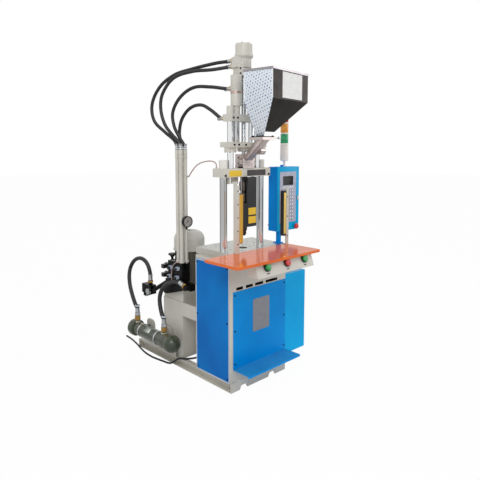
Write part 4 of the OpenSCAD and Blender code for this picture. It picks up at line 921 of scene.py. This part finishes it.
# Injection unit: chromed columns and rods, with a painted crosshead, flange, cylinders and motor
# above them. A worn pink band marks the left cylinder.
softened("guide_columns", 0.8, chrome)
softened("piston_rods", 0.6, chrome)
softened("crosshead", 1.2, beige)
screws("crosshead_screws", "injection", black_oxide, (
    ([(x, -61.9, 1525) for x in (-128, -90, -30, 30, 90, 128)], ahead, 12, 5),
    ([(x + 30 * math.cos(a), -12 + 30 * math.sin(a), 1481) for x in (-115, 115)
      for a in diagonals], downward, 8, 4)))
softened("top_flange", 1.5, beige)
softened("injection_cylinders", 1.0, beige)
softened("hydraulic_motor", 1.2, beige)
screws("tower_screws", "clamp", black_oxide, (
    ([(x, -52, 1688) for x in (-125, -90, 90, 125)], ahead, 12, 5),
    ([(x, -40, z) for x in (-56, 56) for z in (1958, 1988)], ahead, 11, 5)))
pink_band = metal("worn_pinkish_band", "#B99B92", "#CDB3AA", 0.4, (8, 8, 2))
mesh = bmesh.new()
turned(mesh, facing((-66, -12, 1838), upward), [
    (33, 0), (34.8, 0), (34.8, 12), (33, 12), (33, 0)], 48)
place(mesh, "cylinder_band", "clamp", pink_band)


# Feed block, gate and hopper: bright steel, and polished stainless sheet that keeps its printed
# protective film on the left. The hopper stands turned by eight degrees.
feed_steel = metal("milled_feed_steel", "#B5A8A4", "#D2C8C4", 0.3, (4, 4, 4))
softened("feed_block", 1.0, feed_steel)
softened("hopper_gate", 0.5, bright_steel)
hopper_film, tree = blank_material("printed_protective_film")
where = add(tree, "ShaderNodeTexCoord").outputs["Object"]
apart = add(tree, "ShaderNodeSeparateXYZ", {"Vector": where})
upright = add(tree, "ShaderNodeCombineXYZ", {"X": apart.outputs["Z"], "Y": apart.outputs["Y"]})
lean = add(tree, "ShaderNodeMapping", {"Vector": upright.outputs[0]},
           Rotation=(0.0, 0.0, 0.22), Scale=(56.0, 54.0, 56.0))
print_dots = add(
    tree, "ShaderNodeTexBrick", {"Vector": lean.outputs[0]}, Scale=1.0, Mortar_Size=0.29,
    Mortar_Smooth=0.2, Brick_Width=1.0, Row_Height=0.92, Color1=linear("#2C5FA4"),
    Color2=linear("#C2D4E8"), Mortar=linear("#E8EFF5"))
crinkle = add(tree, "ShaderNodeTexNoise", {"Vector": where}, Scale=per(28), Detail=3.0)
waves = add(tree, "ShaderNodeBump", {"Height": crinkle.outputs[0]}, Strength=0.35, Distance=0.0012)
coated(tree, print_dots.outputs[0], waves, Roughness=0.22, Coat_Weight=0.5)
# Painted dark reflection: the bare polished stainless is coloured near black with a warm tint, for
# the dark room it reflects.
stainless_painted_dark_reflection = metal("polished_stainless_painted_dark_reflection", "#0D0B0A", "#241D19", 0.06, (60, 60, 60), 0.02)
rim_steel = metal("folded_stainless_rim", "#8C868B", "#AAA4A8", 0.22, (60, 60, 2))
hopper = softened("hopper", 0.5, hopper_film)
repaint(hopper, stainless_painted_dark_reflection, lambda centre, normal: normal.y < -0.5 or (
    normal.z < -0.2 and normal.y < -0.2 and normal.x > -0.4))
repaint(hopper, rim_steel, lambda centre, normal: centre.z > 1936 or normal.x > 0.6)
repaint(hopper, black_oxide, lambda centre, normal: centre.z < 1577)
hopper_turn = Matrix.Translation(Vector((29, -261, 0)) * mm) @ Matrix.Rotation(
    math.radians(8), 4, "Z")
blank_paper = moulded("blank_paper_label", "#ECECEA", "#F6F6F4", 0.6, 3.0, 0.04)
film_edge = moulded("pale_film_edge", "#E9EFF5", "#F5F8FB", 0.3)
for name, material, corners in (
    ("blank_sheet", blank_paper, [((-92, -102.2, 1787), (118, -101.4, 1932))]),
    ("film_edges", film_edge, [
        ((-188.9, y - 4, 1780), (-188.1, y + 4, 1935)) for y in (-98, 94)]),
):
    mesh = bmesh.new()
    for low, high in corners:
        brick(mesh, low, high)
    bmesh.ops.transform(mesh, matrix=hopper_turn, verts=mesh.verts)
    place(mesh, name, "clamp", material)
screws("hopper_foot_screws", "clamp", black_oxide, (
    ([(x, y, 1574) for x in (-42, 42) for y in (-218, -134)], upward, 12, 6),))


# Barrel, heater bands and guard: nitrided steel in four heat tinted bands, whose braided wires
# climb at the left. The black guard in front carries two bare yellow plates.
nitrided = metal("nitrided_barrel_steel", "#3E3F41", "#58595B", 0.35, (3, 3, 1))
softened("barrel", 0.6, nitrided)
softened("screw", 0.3, zinc)
softened("heater_bands", 0.8, metal("heat_tinted_band", "#5F5750", "#80766E", 0.38, (4, 4, 20)))
softened("barrel_guard", 0.8, black_paint)
blocks("yellow_guard_plates", "clamp", yellow_plate, [
    ((-34, -90.0, z), (32, -89.0, z + 44)) for z in (1090, 1036)], 0.3)
band_feet = range(1022, 1022 + 4 * 72, 72)
for k, low in enumerate(band_feet):
    line = route([
        (-33, -12, low + 28), (-37 - k, -18 - 3 * k, low + 52), (-35 - k, -24 - 3 * k, low + 80),
        (-34 - k, -26 - 3 * k, 1322)], 0.008)
    place(tube(line, 1.9, 8, rightward), "heater_wire_%d" % (k + 1), "clamp", braid)
screws("band_clamp_screws", "clamp", zinc, (
    ([(-33.8, -12, low + z) for low in band_feet for z in (21, 35)], leftward, 7, 4),))
